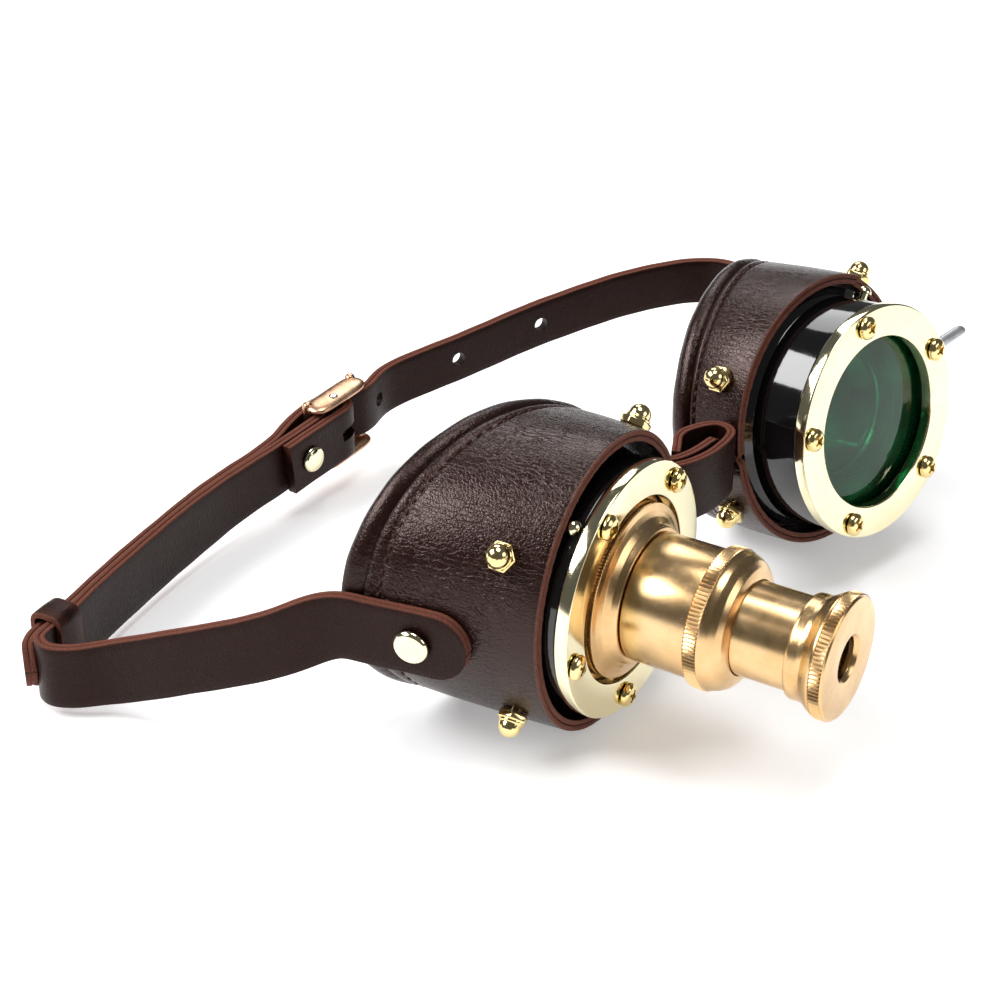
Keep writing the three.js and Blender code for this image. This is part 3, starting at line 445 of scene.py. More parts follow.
def make(name, points, faces, material, matrix=WORLD, edge=None, sharp=SHARP, merge=True):
    """A smooth closed mesh from points in millimetres; edge marks how raw the leather is at each point."""
    mesh = bpy.data.meshes.new(name)
    mesh.from_pydata([tuple(p) for p in points], [], faces)
    if edge is not None:
        layer = mesh.attributes.new("edge", "FLOAT", "POINT")
        layer.data.foreach_set("value", np.asarray(edge, np.float32))
    work = bmesh.new()
    work.from_mesh(mesh)
    if merge:
        bmesh.ops.remove_doubles(work, verts=work.verts, dist=1e-4)
    bmesh.ops.recalc_face_normals(work, faces=work.faces)
    work.to_mesh(mesh)
    work.free()
    mesh.transform(Matrix.Scale(0.001, 4) @ matrix)
    smooth(mesh, sharp)
    mesh.materials.append(material)
    return new_object(name, mesh)


def stand_for(piece, node):
    """The piece takes a CAD node's place and body."""
    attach(piece, BODY_OF[node])
    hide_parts(node)
    return piece


def apply_modifiers(piece):
    graph = bpy.context.evaluated_depsgraph_get()
    mesh = bpy.data.meshes.new_from_object(piece.evaluated_get(graph))
    piece.modifiers.clear()
    piece.data = mesh


def combine(piece, others, operation, sharp):
    for other in others:
        modifier = piece.modifiers.new(other.name, "BOOLEAN")
        modifier.operation = operation
        modifier.solver = "EXACT"
        modifier.object = other
    bpy.context.view_layer.update()
    apply_modifiers(piece)
    for other in others:
        bpy.data.objects.remove(other)
    smooth(piece.data, sharp)


def carve(piece, tools, sharp=SHARP):
    """Cuts other closed pieces out of this one."""
    combine(piece, tools, "DIFFERENCE", sharp)


def unite(piece, other, sharp):
    """Joins another closed piece into this one."""
    combine(piece, [other], "UNION", sharp)


def mesh_of(piece):
    """A piece's mesh, with the piece itself removed."""
    mesh = piece.data
    bpy.data.objects.remove(piece)
    return mesh


def rounded(outline, radius, closed):
    """Rounds an outline's corners. Values after the first two of a point are carried along."""
    result = []
    last = len(outline) - 1
    for i, point in enumerate(outline):
        if not closed and i in (0, last):
            result.append(tuple(point))
            continue
        here = np.array(point[:2], float)
        before = np.array(outline[i - 1][:2], float) - here
        after = np.array(outline[0 if i == last else i + 1][:2], float) - here
        reach = min(radius, 0.4 * np.linalg.norm(before), 0.4 * np.linalg.norm(after))
        a = here + before / np.linalg.norm(before) * reach
        b = here + after / np.linalg.norm(after) * reach
        for k in range(CORNER_STEPS + 1):
            s = k / CORNER_STEPS
            at = (1 - s) ** 2 * a + 2 * s * (1 - s) * here + s * s * b
            result.append((at[0], at[1], *point[2:]))
    return result


def lathe(name, outline, material, matrix, corner, segments, sharp=SHARP):
    """Turns an outline of (radius, height) or (radius, height, knurl depth) about +Z.

    An outline that starts on the axis gives a solid, any other gives a ring.
    """
    ring = outline[0][0] > 0
    outline = rounded(outline, corner, ring)
    points = []
    for point in outline:
        radius, height = point[:2]
        depth = point[2] if len(point) > 2 else 0
        for j in range(segments):
            angle = 2 * math.pi * j / segments
            reach = radius - depth * (j % 2)
            points.append((reach * math.cos(angle), reach * math.sin(angle), height))
    faces = grid_faces(len(outline), segments, ring)
    return make(name, points, faces, material, matrix, sharp=sharp)


def dome(radius, base=0):
    """Points on a dome's outline between its foot and its top."""
    return [(radius * math.cos(a), base + radius * math.sin(a)) for a in np.radians((15, 30, 45, 60, 75))]


def block(name, size, matrix, material):
    x, y, z = (value / 2 for value in size)
    points = [(i * x, j * y, k * z) for i in (-1, 1) for j in (-1, 1) for k in (-1, 1)]
    faces = [(0, 1, 3, 2), (4, 6, 7, 5), (0, 4, 5, 1), (2, 3, 7, 6), (0, 2, 6, 4), (1, 5, 7, 3)]
    return make(name, points, faces, material, matrix)


def drill(name, start, end, radius, matrix=WORLD):
    """A rod between two points, to cut with."""
    start, end = Vector(start), Vector(end)
    turn = (end - start).to_track_quat("Z", "Y").to_matrix().to_4x4()
    length = (end - start).length
    outline = [(0, 0), (radius, 0), (radius, length), (0, length)]
    return lathe(name, outline, BLACK, matrix @ Matrix.Translation(start) @ turn, 0, 24)


def refine(node, material, width):
    """A copy of a hard CAD node with welded faces, rounded edges and smooth shading."""
    piece = new_object(node + "_finish", frame["nodes"][node].data.copy())
    work = bmesh.new()
    work.from_mesh(piece.data)
    bmesh.ops.remove_doubles(work, verts=work.verts, dist=1e-6)
    bmesh.ops.dissolve_limit(work, angle_limit=math.radians(1), verts=work.verts, edges=work.edges)
    work.to_mesh(piece.data)
    work.free()
    modifier = piece.modifiers.new("bevel", "BEVEL")
    modifier.width = width / 1000
    modifier.segments = 3
    modifier.limit_method = "ANGLE"
    modifier.angle_limit = math.radians(SHARP)
    bpy.context.view_layer.update()
    apply_modifiers(piece)
    smooth(piece.data, SHARP)
    piece.data.materials.clear()
    piece.data.materials.append(material)
    stand_for(piece, node)


# ---- Cup shapes ----


def leather_point(cup, angle, t, inset):
    """The leather's outer surface at an angle, a share t of the way back, and an inset from it."""
    (a0, b0, d0), (a1, b1, d1) = cup["front"], cup["back"]
    x = (a0 + (a1 - a0) * t - inset) * math.cos(angle)
    y = (b0 + (b1 - b0) * t - inset) * math.sin(angle)
    return Vector((x, y, -(d0 + (d1 - d0) * t + t * cup["slant"] * x)))


def share_at(cup, angle, depth):
    near = leather_point(cup, angle, 0, 0)
    far = leather_point(cup, angle, 1, 0)
    return (depth + near.z) / (near.z - far.z)


def leather_radius(cup, degrees, depth):
    angle = math.radians(degrees)
    return leather_point(cup, angle, share_at(cup, angle, depth), 0).xy.length


def seat(degrees, depth, distance, lean=0.0):
    """A seat on a radius of a cup: its +Z points outwards, leaning forward."""
    x, y = math.cos(math.radians(degrees)), math.sin(math.radians(degrees))
    up = Vector((x * math.cos(lean), y * math.cos(lean), math.sin(lean)))
    side = Vector((-y, x, 0))
    matrix = Matrix((side.cross(up), side, up)).transposed().to_4x4()
    matrix.translation = Vector((x * distance, y * distance, -depth))
    return matrix


def leather_seat(cup, degrees, depth, off):
    """A seat on a cup's leather, raised off it by off."""
    rise = leather_radius(cup, degrees, depth + 2) - leather_radius(cup, degrees, depth - 2)
    lean = math.atan(rise / 4)
    distance = leather_radius(cup, degrees, depth) + off * math.cos(lean)
    return seat(degrees, depth - off * math.sin(lean), distance, lean)


def strap_rivet_angle(cup):
    height = cup["strap"][0]
    reach = math.sqrt(cup["back"][0] ** 2 - height**2)
    return math.degrees(math.atan2(height, cup["temple"] * reach))


def smooth_step(value, low, high):
    share = min(1.0, max(0.0, (value - low) / (high - low)))
    return share * share * (3 - 2 * share)


def wobble(angle, *waves):
    """A slow variation round a cup: each wave is a count, a size and a phase."""
    return sum(size * math.sin(count * angle + phase) for count, size, phase in waves)


def off_seam(cup, angle):
    """How many degrees an angle is away from the cup's seam."""
    return abs((math.degrees(angle) - cup["seam"] + 180) % 360 - 180)


def front_share(cup, angle):
    """Where the leather's front edge lies: cut back over the lever on the green cup, dipped at the seam."""
    share = 0.0
    if cup["notch"]:
        low, high, depth = cup["notch"]
        turned = (math.degrees(angle) + 180) % 360 - 180
        begun = smooth_step(turned, low - NOTCH_SOFT, low + NOTCH_SOFT)
        ended = smooth_step(turned, high - NOTCH_SOFT, high + NOTCH_SOFT)
        share = begun * (1 - ended) * share_at(cup, angle, depth)
    return share + SEAM_DIP * (1 - smooth_step(off_seam(cup, angle), 0.3, 2.4))


def cup_section(cup, angle):
    """Points of the leather's section at an angle, each with how raw it is."""
    start = front_share(cup, angle)

    def place(share, inset):
        return leather_point(cup, angle, start + (1 - start) * share, inset)

    loose = wobble(angle, (3, 0.16, 0.4), (5, 0.09, 1.9), (8, 0.04, 0.7))
    seam = 0.5 * (1 - smooth_step(off_seam(cup, angle), 0.2, 1.3))
    section = []
    for k in range(CUP_STATIONS + 1):
        share = FRONT_EDGE + (1 - FRONT_EDGE) * k / CUP_STATIONS
        stitch = math.exp(-(((share - STITCH_SHARE) / 0.022) ** 2))
        belly = math.sin(math.pi * share) * (0.25 + loose)
        section.append((place(share, 0.55 * stitch + seam - belly), 0.0))
    tuck = Vector((0, 0, -1.3))
    for inset in (0.9, WALL - 0.3):
        section.append((leather_point(cup, angle, 1, inset) + tuck, 0.0))
    inner_steps = 8
    for k in range(inner_steps + 1):
        section.append((place(1 - 0.985 * k / inner_steps, WALL), 0.0))
    front = [(WALL - 0.12, 0.0), (WALL - 0.5, 0.0), (WALL / 2 + 0.2, 0.0), (WALL / 2, 0.35)]
    front += [(WALL / 2 - 0.2, 0.0), (0.5, -0.03), (0.12, 0.0)]
    for inset, dip in front:
        frayed = 0.07 * math.sin(angle * 61 + inset * 3) + 0.05 * math.sin(angle * 113 + inset * 7)
        raw = 0.35 if dip > 0.1 else 1.0
        section.append((place(0, inset) - Vector((0, 0, dip + frayed * 0.5)), raw))
    return section


def add_cup_leather(cup, material):
    points = []
    edge = []
    for i in range(CUP_STEPS):
        for point, raw in cup_section(cup, 2 * math.pi * i / CUP_STEPS):
            points.append(point)
            edge.append(raw)
    faces = grid_faces(CUP_STEPS, len(points) // CUP_STEPS, True)
    name = cup["name"] + "_cup_leather"
    stand_for(make(name + "_cover", points, faces, material, cup["matrix"], edge, 60, False), name)


def add_roll(cup):
    """The padded rim: a soft tube along the slanted back edge, pinched a little at each stitch."""
    a, b, depth = cup["roll"]
    around = 28
    points = []
    for i in range(CUP_STEPS):
        angle = 2 * math.pi * i / CUP_STEPS
        soft = 1 + 0.02 * math.sin(9 * angle + 0.5) + 0.012 * math.sin(23 * angle)
        for j in range(around):
            turn = 2 * math.pi * j / around
            pinch = 1 - 0.04 * max(0, math.sin(turn)) * (1 + math.sin(angle * 88))
            out = ROLL * soft * pinch * math.cos(turn) * 0.97
            x = (a + out) * math.cos(angle)
            y = (b + out) * math.sin(angle)
            points.append((x, y, ROLL * 1.12 * soft * math.sin(turn) - depth - cup["slant"] * x))
    faces = grid_faces(CUP_STEPS, around, True)
    name = cup["name"] + "_rim_roll"
    piece = stand_for(make(name + "_pad", points, faces, ROLL_LEATHER, cup["matrix"], merge=False), name)


def thread_run(name, path, matrix, body):
    """Stitches laid along a closed path of (place, outward) pairs: each a short arched bead."""
    around = 8
    stations = 7
    points = []
    faces = []
    for i in range(0, len(path), STITCH_STEPS):
        ends = path[i : i + STITCH_STEPS]
        start, finish = ends[0][0], ends[-1][0]
        along = (finish - start).normalized()
        outward = ends[1][1]
        side = along.cross(outward).normalized()
        first = len(points)
        for k in range(stations):
            share = k / (stations - 1)
            swell = THREAD_RADIUS * math.sqrt(max(0.0, 1 - (2 * share - 1) ** 2)) + 0.02
            lift = 0.2 * math.sin(math.pi * share)
            middle = start.lerp(finish, 0.1 + 0.8 * share) + outward * lift
            for j in range(around):
                turn = 2 * math.pi * j / around
                points.append(middle + side * (swell * math.cos(turn)) + outward * (swell * math.sin(turn)))
        for face in tube_faces(stations, around):
            faces.append(tuple(first + k for k in face))
    piece = make(name, points, faces, THREAD, matrix, merge=False, edge=[0.15] * len(points))
    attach(piece, body)


def add_stitching(cup):
    path = []
    steps = STITCH_STEPS * STITCHES
    for i in range(steps):
        angle = 2 * math.pi * i / steps
        start = front_share(cup, angle)
        share = start + (1 - start) * STITCH_SHARE
        place = leather_point(cup, angle, share, 0.5)
        outward = Vector((math.cos(angle), math.sin(angle), 0))
        path.append((place, outward))
    thread_run(cup["name"] + "_stitches", path, cup["matrix"], "frame")


# ---- Hard parts of a cup ----


def slot_tool(matrix):
    """A part of a ring, to cut the lever's slot with."""
    low = LEVER_ANGLE - LEVER_SWING - SLOT_SPARE
    high = LEVER_ANGLE + SLOT_SPARE
    inner, outer = SLOT_RADII
    front, back = SLOT_DEPTHS
    points = []
    steps = 24
    for k in range(steps + 1):
        angle = math.radians(low + (high - low) * k / steps)
        for radius, depth in ((inner, front), (outer, front), (outer, back), (inner, back)):
            points.append((radius * math.cos(angle), radius * math.sin(angle), -depth))
    return make("slot_tool", points, tube_faces(steps + 1, 4), BLACK, matrix)


def add_housing(cup):
    barrel = cup["barrel"]
    outline = [
        (22.9, -3.3), (22.9, -5.9), (20.9, -5.9), (20.9, -7.2), (24.8, -7.2),
        (24.8, -barrel["start"]), (barrel["bore"], -barrel["full"]),
        (barrel["bore"], -barrel["end"]), (barrel["radius"], -barrel["end"]),
        (barrel["radius"], -barrel["full"]), (27.3, -barrel["start"]), (27.3, -3.3),
    ]
    name = cup["name"] + "_housing"
    piece = lathe(name + "_shell", outline, BLACK, cup["matrix"], segments=192, corner=0.35)
    if cup is SHADE:
        carve(piece, [slot_tool(cup["matrix"])])
    stand_for(piece, name)


def add_bezel(cup):
    outline = [(20.5, -3), (28, -3), (28, 0), (20.5, 0)]
    name = cup["name"] + "_bezel"
    stand_for(lathe(name + "_ring", outline, GILT, cup["matrix"], segments=192, corner=0.4), name)


def screw_mesh():
    """A pan head with a cross recess, standing on +Z."""
    outline = [(0, -2), (1, -2), (1, GAP), (2.7, GAP), (2.72, 0.8)]
    outline += [(2.5, 1.25), (1.9, 1.7), (1, 1.95), (0, 2)]
    head = lathe("screw_head", outline, GOLD, WORLD, corner=0.15, segments=48)
    above = Matrix.Translation((0, 0, 2.1))
    tools = []
    for turn in (0, 90):
        tools.append(block("recess", (2.9, 0.62, 2.0), rotation(turn) @ above, BLACK))
    tools.append(block("recess", (1.25, 1.25, 2.6), above, BLACK))
    carve(head, tools)
    return mesh_of(head)


def cap_nut_mesh():
    """An acorn nut standing on +Z."""
    radius, height = 3.4, 2.0
    outline = []
    for k in range(6):
        angle = math.radians(60 * k)
        outline.append((radius * math.cos(angle), radius * math.sin(angle)))
    rings = [(0.9, -0.02), (1.0, 0.3), (1.0, height - 0.35), (0.9, height)]
    points = []
    for scale, level in rings:
        points += [(x * scale, y * scale, level) for x, y in outline]
    hexagon = make("hexagon", points, tube_faces(len(rings), 6), GOLD, sharp=20)
    bevel = hexagon.modifiers.new("bevel", "BEVEL")
    bevel.width = 0.15 / 1000
    bevel.segments = 2
    cap = [(0, -1), (1.4, -1), (1.4, 1.5), (2.75, 1.5), (2.75, 2.3), (2.5, 2.6), (2.5, 2.9)]
    cap += [*dome(2.5, 2.9), (0, 5.4)]
    unite(hexagon, lathe("nut_cap", cap, GOLD, WORLD, corner=0.12, segments=48, sharp=50), 30)
    return mesh_of(hexagon)


def stud_mesh():
    outline = [(0, -2), (1, -2), (1, 0), (1.8, 0), *dome(1.8), (0, 1.8)]
    return mesh_of(lathe("stud_head", outline, GILT, WORLD, corner=0.05, segments=40, sharp=60))


def rivet_mesh(radius, height):
    """A flat-topped rivet cap standing on +Z, with a softly rounded shoulder."""
    outline = [(0, -1), (1.4, -1), (1.4, 0), (radius, 0), (radius, height * 0.45)]
    outline += [(radius - 0.45, height * 0.9), (radius * 0.5, height + 0.18), (0, height + 0.25)]
    return mesh_of(lathe("rivet_cap", outline, GILT, WORLD, corner=0.4, segments=72, sharp=60))


def put(mesh, node, matrix):
    """A copy of a metre-sized mesh at a matrix given in millimetres, standing for a CAD node."""
    copy = mesh.copy()
    metres = matrix.copy()
    metres.translation = matrix.translation / 1000
    copy.transform(metres)
    stand_for(new_object(node + "_part", copy), node)


def add_fasteners(cup, screw, nut, stud, cap):
    name = cup["name"]
    base = cup["matrix"]
    for i in range(5):
        degrees = cup["screws"] + 72 * i
        angle = math.radians(degrees)
        place = Matrix.Translation((SCREW_CIRCLE * math.cos(angle), SCREW_CIRCLE * math.sin(angle), 0))
        put(screw, f"{name}_bezel_screw_{i + 1}", base @ place @ rotation(degrees + 20 * i))
    for i, (degrees, depth) in enumerate(cup["nuts"]):
        place = leather_seat(cup, degrees, depth, GAP + 0.1)
        put(nut, f"{name}_cup_nut_{i + 1}", base @ place @ rotation(13 * i))
    put(stud, name + "_housing_stud", base @ seat(*cup["stud"]))
    off = STRAP_THICK + 3 * GAP + 0.2
    place = leather_seat(cup, strap_rivet_angle(cup), cup["strap"][1], off)
    put(cap, "strap_rivet_" + name, base @ place)


# ---- Telescope ----


def add_telescope():
    """The telescope's turned parts, as outlines of radius, height and, where knurled, the knurl's depth."""
    knurl = 0.3
    fine_knurl = 0.28
    flange = [
        (12.7, -5.6), (22.5, -5.6), (22.5, -3.6), (19.1, -3.3), (19.1, -0.7), (19.1, -0.6, fine_knurl),
        (19.1, 0.35, fine_knurl), (18.9, 0.5), (17.7, 0.75), (16.4, 1.4), (15.2, 2.5), (14.6, 3.9),
        (12.2, 3.9), (12.2, 10), (11.3, 10), (11.3, -2.9), (12.7, -2.9),
    ]
    mouth = [
        (10.2, 14.4), (12.2, 14.4), (12.2, 18.9), (14.9, 18.9), (15.2, 19.1, knurl), (15.2, 21.8, knurl),
        (14.9, 22.1), (14.7, 22.6), (14.4, 23.8), (13.6, 25.2), (12.4, 26.2), (11.0, 26.8), (10.2, 27),
    ]
    eyepiece = [
        (10.3, 39), (11, 39), (11.2, 39.6), (11.2, 41.5), (11.5, 42.6), (12.3, 43.7), (13.0, 44.9),
        (13.0, 45.3), (13.3, 45.5, knurl), (13.3, 47.7, knurl), (12.95, 47.95), (12.7, EYEPIECE_FACE),
        (5.2, EYEPIECE_FACE), (4.5, 47.4), (4.5, 46.3), (8.6, 46.3), (8.6, 44.9), (10.3, 44.9),
    ]
    tube = [(12.5, 4.2), (13.9, 4.2), (13.9, 18.6), (12.5, 18.6)]
    draw = [(8.8, 12.2), (10.9, 12.2), (10.9, 13.9), (10, 13.9), (10, 44.6), (8.8, 44.6)]
    front_glass = [(0, -5.3), (12.2, -5.3), (12.4, -4.9), (12.4, -3.6), (6, -3.3), (0, -3.2)]
    eye_glass = [(0, 45.0), (8.2, 45.05), (8.3, 45.3), (8.3, 45.8), (4, 45.95), (0, 46)]
    for name, node, material, segments, corner, outline in (
        ("scope_flange", "scope_base_flange", BRASS, 320, 0.18, flange),
        ("scope_tube", "scope_barrel", BRASS, 160, 0.2, tube),
        ("scope_mouth", "scope_mouth_ring", BRASS, 220, 0.2, mouth),
        ("scope_draw", "scope_draw_tube", BRASS, 160, 0.15, draw),
        ("scope_eye_ring", "scope_eyepiece", BRASS, 190, 0.18, eyepiece),
        ("scope_objective", "scope_objective_lens", CLEAR, 96, 0.1, front_glass),
        ("scope_eye_glass", "scope_eye_lens", CLEAR, 96, 0.1, eye_glass),
    ):
        stand_for(lathe(name, outline, material, SCOPE["matrix"], corner, segments), node)


# ---- Green lens and lever ----


def add_green_lens():
    outline = [(0, -5.6), (22.3, -5.6), (22.5, -5.4), (22.5, -4.4), (18, -4.05)]
    outline += [(12, -3.8), (6, -3.65), (0, -3.6)]
    piece = lathe("shade_lens", outline, GREEN, SHADE["matrix"], corner=0.2, segments=128, sharp=70)
    stand_for(piece, "shade_green_lens")


def add_lever():
    """The lever's ring inside the housing, a flat tab through the slot, and a rod with a domed tip."""
    base = SHADE["matrix"]
    half = 0.55
    ring = [(15, -half), (24.4, -half), (24.4, half), (15, half)]
    rod = [(0, 24.9), (1.75, 24.9), (1.75, 50.4), (1.65, 51.1), (1.35, 51.9), (0.8, 52.5), (0, 52.8)]
    level = Matrix.Translation((0, 0, -LEVER_DEPTH))
    turned = base @ rotation(LEVER_ANGLE) @ level
    piece = lathe("iris_lever_arm", ring, SILVER, base @ level, corner=0.1, segments=128)
    unite(piece, block("tab", (5, 3.4, 1), turned @ Matrix.Translation((25.4, 0, 0)), SILVER), 40)
    place = turned @ rotation(90, "Y")
    unite(piece, lathe("rod", rod, SILVER, place, corner=0.2, segments=48, sharp=60), 40)
    stand_for(piece, "shade_iris_lever")


# ---- Straps ----


class Curve:
    """A centripetal Catmull-Rom curve through points in millimetres, the kind the CAD's straps follow."""

    def __init__(self, points):
        self.points = [np.array(point, float) for point in points]
        steps = 3000
        self.shares = np.linspace(0, 1, steps + 1)
        path = np.array([self.at(t) for t in self.shares])
        lengths = np.linalg.norm(np.diff(path, axis=0), axis=1)
        self.travelled = np.concatenate([[0], np.cumsum(lengths)])
        self.length = self.travelled[-1]

    def at(self, t):
        points = self.points
        last = len(points) - 1
        reach = last * min(1.0, max(0.0, t))
        i = min(int(reach), last - 1)
        w = reach - i
        p1, p2 = points[i], points[i + 1]
        p0 = points[i - 1] if i else 2 * points[0] - points[1]
        p3 = points[i + 2] if i + 2 <= last else 2 * points[last] - points[last - 1]
        d0, d1, d2 = (max(1e-4, np.linalg.norm(b - a)) ** 0.5 for a, b in ((p0, p1), (p1, p2), (p2, p3)))
        m1 = ((p1 - p0) / d0 - (p2 - p0) / (d0 + d1) + (p2 - p1) / d1) * d1
        m2 = ((p2 - p1) / d1 - (p3 - p1) / (d1 + d2) + (p3 - p2) / d2) * d1
        square = -3 * p1 + 3 * p2 - 2 * m1 - m2
        cube = 2 * p1 - 2 * p2 + m1 + m2
        return p1 + m1 * w + square * w * w + cube * w**3

    def frame(self, t):
        """The place, and the upright and outward directions of a strap on edge, at a share of the curve."""
        step = 1e-4
        along = self.at(min(1, t + step)) - self.at(max(0, t - step))
        along /= np.linalg.norm(along)
        up = np.array((0, 0, 1.0))
        up -= along * up.dot(along)
        up /= np.linalg.norm(up)
        return self.at(t), along, up, np.cross(up, along)

    def share(self, distance):
        return float(np.interp(distance, self.travelled, self.shares))


def beside_cup(cup, depth, extra=0.0):
    """A place on a strap's middle where it lies against a cup."""
    reach = leather_radius(cup, strap_rivet_angle(cup), min(depth, 41)) + GAP + STRAP_THICK / 2 + extra
    return cup["matrix"] @ Vector((cup["temple"] * reach, cup["strap"][0], -depth))


def from_buckle(along, out):
    return BUCKLE_MATRIX @ Vector((along, out, 0))


def end_points(start, towards, width):
    """Places along a strap's round end, close together at its tip."""
    step = (Vector(towards) - Vector(start)).normalized() * width / 2
    return [Vector(start) + step * share for share in (0, 0.04, 0.12, 0.25, 0.45, 0.7, 1)]


def strap_a_curve():
    tip, rivet = beside_cup(SCOPE, 19), beside_cup(SCOPE, 31)
    loose = [
        (-100.8, 52.5, 23.5), (-110.5, 70, 16.2), (-118.5, 85, 10.8), (-123.9, 91, 9.7),
        (-126.4, 95.4, 9.6), (-125.4, 99.2, 9.6), (-120.8, 101.4, 9.6), (-114.2, 103.3, 9.6),
        (-102.2, 107.8, 9.7), (-79.5, 115.3, 10), (-54, 121.3, 11.3),
    ]
    bend = 3
    turn = []
    for degrees in (90, 55, 25, 0, -25, -55, -90):
        angle = math.radians(degrees)
        turn.append((bend * math.cos(angle), BAR_OUT + bend * math.sin(angle)))
    fold = [(-24, -2.5), (-14, -2.5), (-7.4, -2.5), (-4, -1.6), (-1.8, -0.3), *turn]
    fold += [(-1.8, -5.7), (-4, -5.6), (-14, -5.6), (-21.5, -5.6)]
    points = end_points(tip, rivet, STRAP_A_WIDTH)
    points += [rivet, beside_cup(SCOPE, 41, 0.2), beside_cup(SCOPE, 48, 2.1)]
    points += [Vector(place) + SHIFT for place in loose]
    points += [from_buckle(*place) for place in fold]
    return Curve(points)


def strap_b_curve(curve_a):
    tip, rivet = beside_cup(SHADE, 28), beside_cup(SHADE, 39)
    loose = [
        (95.2, 66, 29.2), (102, 79, 29.8), (101.8, 89, 29.9), (96, 96, 29.8), (87.5, 101, 29.4),
        (74, 107.4, 28), (55.5, 115, 24.9), (30, 122.5, 20.8),
    ]
    through = [
        (22, -0.6), (13, -2.2), (10, -2.3), (8.2, -1.7), (6.2, -0.2), (4.2, 1.9), (1.8, 3.5),
        (-2, 4), (-6.5, 3.9), (-10, 3.4), (-14, 2.4), (-19, 1),
    ]
    start, finish, side = FREE_END
    free = []
    steps = 13
    for i in range(steps + 1):
        at, _, _, out = curve_a.frame(start + (finish - start) * i / steps)
        free.append(Vector(at + out * side))
    points = end_points(tip, rivet, STRAP_B_WIDTH)
    points += [rivet, beside_cup(SHADE, 47, 0.3), beside_cup(SHADE, 54, 1.8)]
    points += [Vector(place) + SHIFT for place in loose]
    points += [from_buckle(*place) for place in through]
    points += free[:-1]
    points += reversed(end_points(free[-1], free[-2], STRAP_B_WIDTH / 2))
    return Curve(points)


def end_width(width, distance):
    """How wide a strap with a round end is at a distance from that end."""
    radius = width / 2
    inset = max(0.0, radius - distance)
    return max(0.6, 2 * math.sqrt(max(0.0, radius**2 - inset**2)))


def strap_section(width, thick):
    """A section of bonded two-layer leather: (upright, outward, raw) with a groove between the layers."""
    half, edge = thick / 2, width / 2
    soft = min(0.3, edge * 0.3)
    one = [(edge - soft, half, 0.0), (edge - soft * 0.3, half - soft * 0.3, 0.5), (edge, half - soft, 1.0)]
    one += [(edge, 0.22, 1.0), (edge - 0.2, 0.0, 0.3), (edge, -0.22, 1.0), (edge, soft - half, 1.0)]
    one += [(edge - soft * 0.3, soft * 0.3 - half, 0.5), (edge - soft, -half, 0.0)]
    across = 8
    inner = [((edge - soft) * (1 - 2 * k / across), -half, 0.0) for k in range(1, across)]
    other = [(-u, -v, raw) for u, v, raw in one]
    outer = [(-u, -v, raw) for u, v, raw in inner]
    return one + inner + other + outer


def stations_along(length, width):
    """Distances along a strap: fine over both round ends, a millimetre apart between them."""
    ends = [width / 2 * (1 - math.cos(math.radians(a))) for a in range(0, 91, 9)]
    middle = np.linspace(width / 2, length - width / 2, int(length - width))
    return ends + list(middle[1:-1]) + [length - d for d in reversed(ends)]


def add_strap(name, node, curve, width_at, thick, tools, nominal):
    """A strap on edge along a curve. nominal is the width that its round ends are spaced for."""
    points = []
    edge = []
    distances = stations_along(curve.length, nominal)
    for distance in distances:
        at, _, up, out = curve.frame(curve.share(distance))
        width = width_at(distance, curve.length - distance)
        wave = 0.1 * math.sin(distance * 0.21) + 0.06 * math.sin(distance * 0.57 + 1)
        for u, v, raw in strap_section(width, thick):
            points.append(at + up * (u + 0.5 * wave) + out * v)
            edge.append(raw)
    faces = tube_faces(len(distances), len(points) // len(distances))
    piece = make(name, points, faces, STRAP_LEATHER, edge=edge, sharp=50, merge=False)
    if tools:
        carve(piece, tools, 50)
    stand_for(piece, node)


def nearest(curve, place):
    """The share of the curve, in its first half, that passes nearest to a place seen from above."""
    far = [np.hypot(*(curve.at(t)[:2] - place)) for t in curve.shares[:1500:2]]
    return curve.shares[2 * int(np.argmin(far))]


def add_keeper(curve_a):
    """A leather band around both straps, with rounded corners and a slightly domed face."""
    at, along, up, out = curve_a.frame(KEEPER_AT)
    near, far = -STRAP_THICK / 2 - GAP, FREE_END[2] + STRAP_THICK / 2 + GAP
    middle = at + out * (near + far) / 2
    band = 0.7
    half_out, half_up = (far - near) / 2 + band, STRAP_A_WIDTH / 2 + GAP + band
    corner = 2.0
    path = []
    for cx, cy, start in ((1, 1, 0), (-1, 1, 90), (-1, -1, 180), (1, -1, 270)):
        for k in range(8):
            angle = math.radians(start + 90 * k / 7)
            x = cx * (half_out - corner) + corner * math.cos(angle)
            y = cy * (half_up - corner) + corner * math.sin(angle)
            path.append((x, y, math.cos(angle), math.sin(angle)))
    section = [(-3.7, -0.55), (-3.7, 0.55), (-3.3, 0.75), (0, 0.85), (3.3, 0.75), (3.7, 0.55)]
    section += [(3.7, -0.55), (3.3, -0.7), (0, -0.7), (-3.3, -0.7)]
    raws = [1, 1, 0.2, 0, 0.2, 1, 1, 0.2, 0, 0.2]
    points = []
    edge = []
    for x, y, nx, ny in path:
        for (side, thick), raw in zip(section, raws):
            points.append(middle + out * (x + nx * thick) + up * (y + ny * thick) + along * side)
            edge.append(raw)
    faces = grid_faces(len(path), len(section), True)
    piece = make("keeper_band", points, faces, STRAP_LEATHER, edge=edge, sharp=50, merge=False)
    stand_for(piece, "strap_keeper")


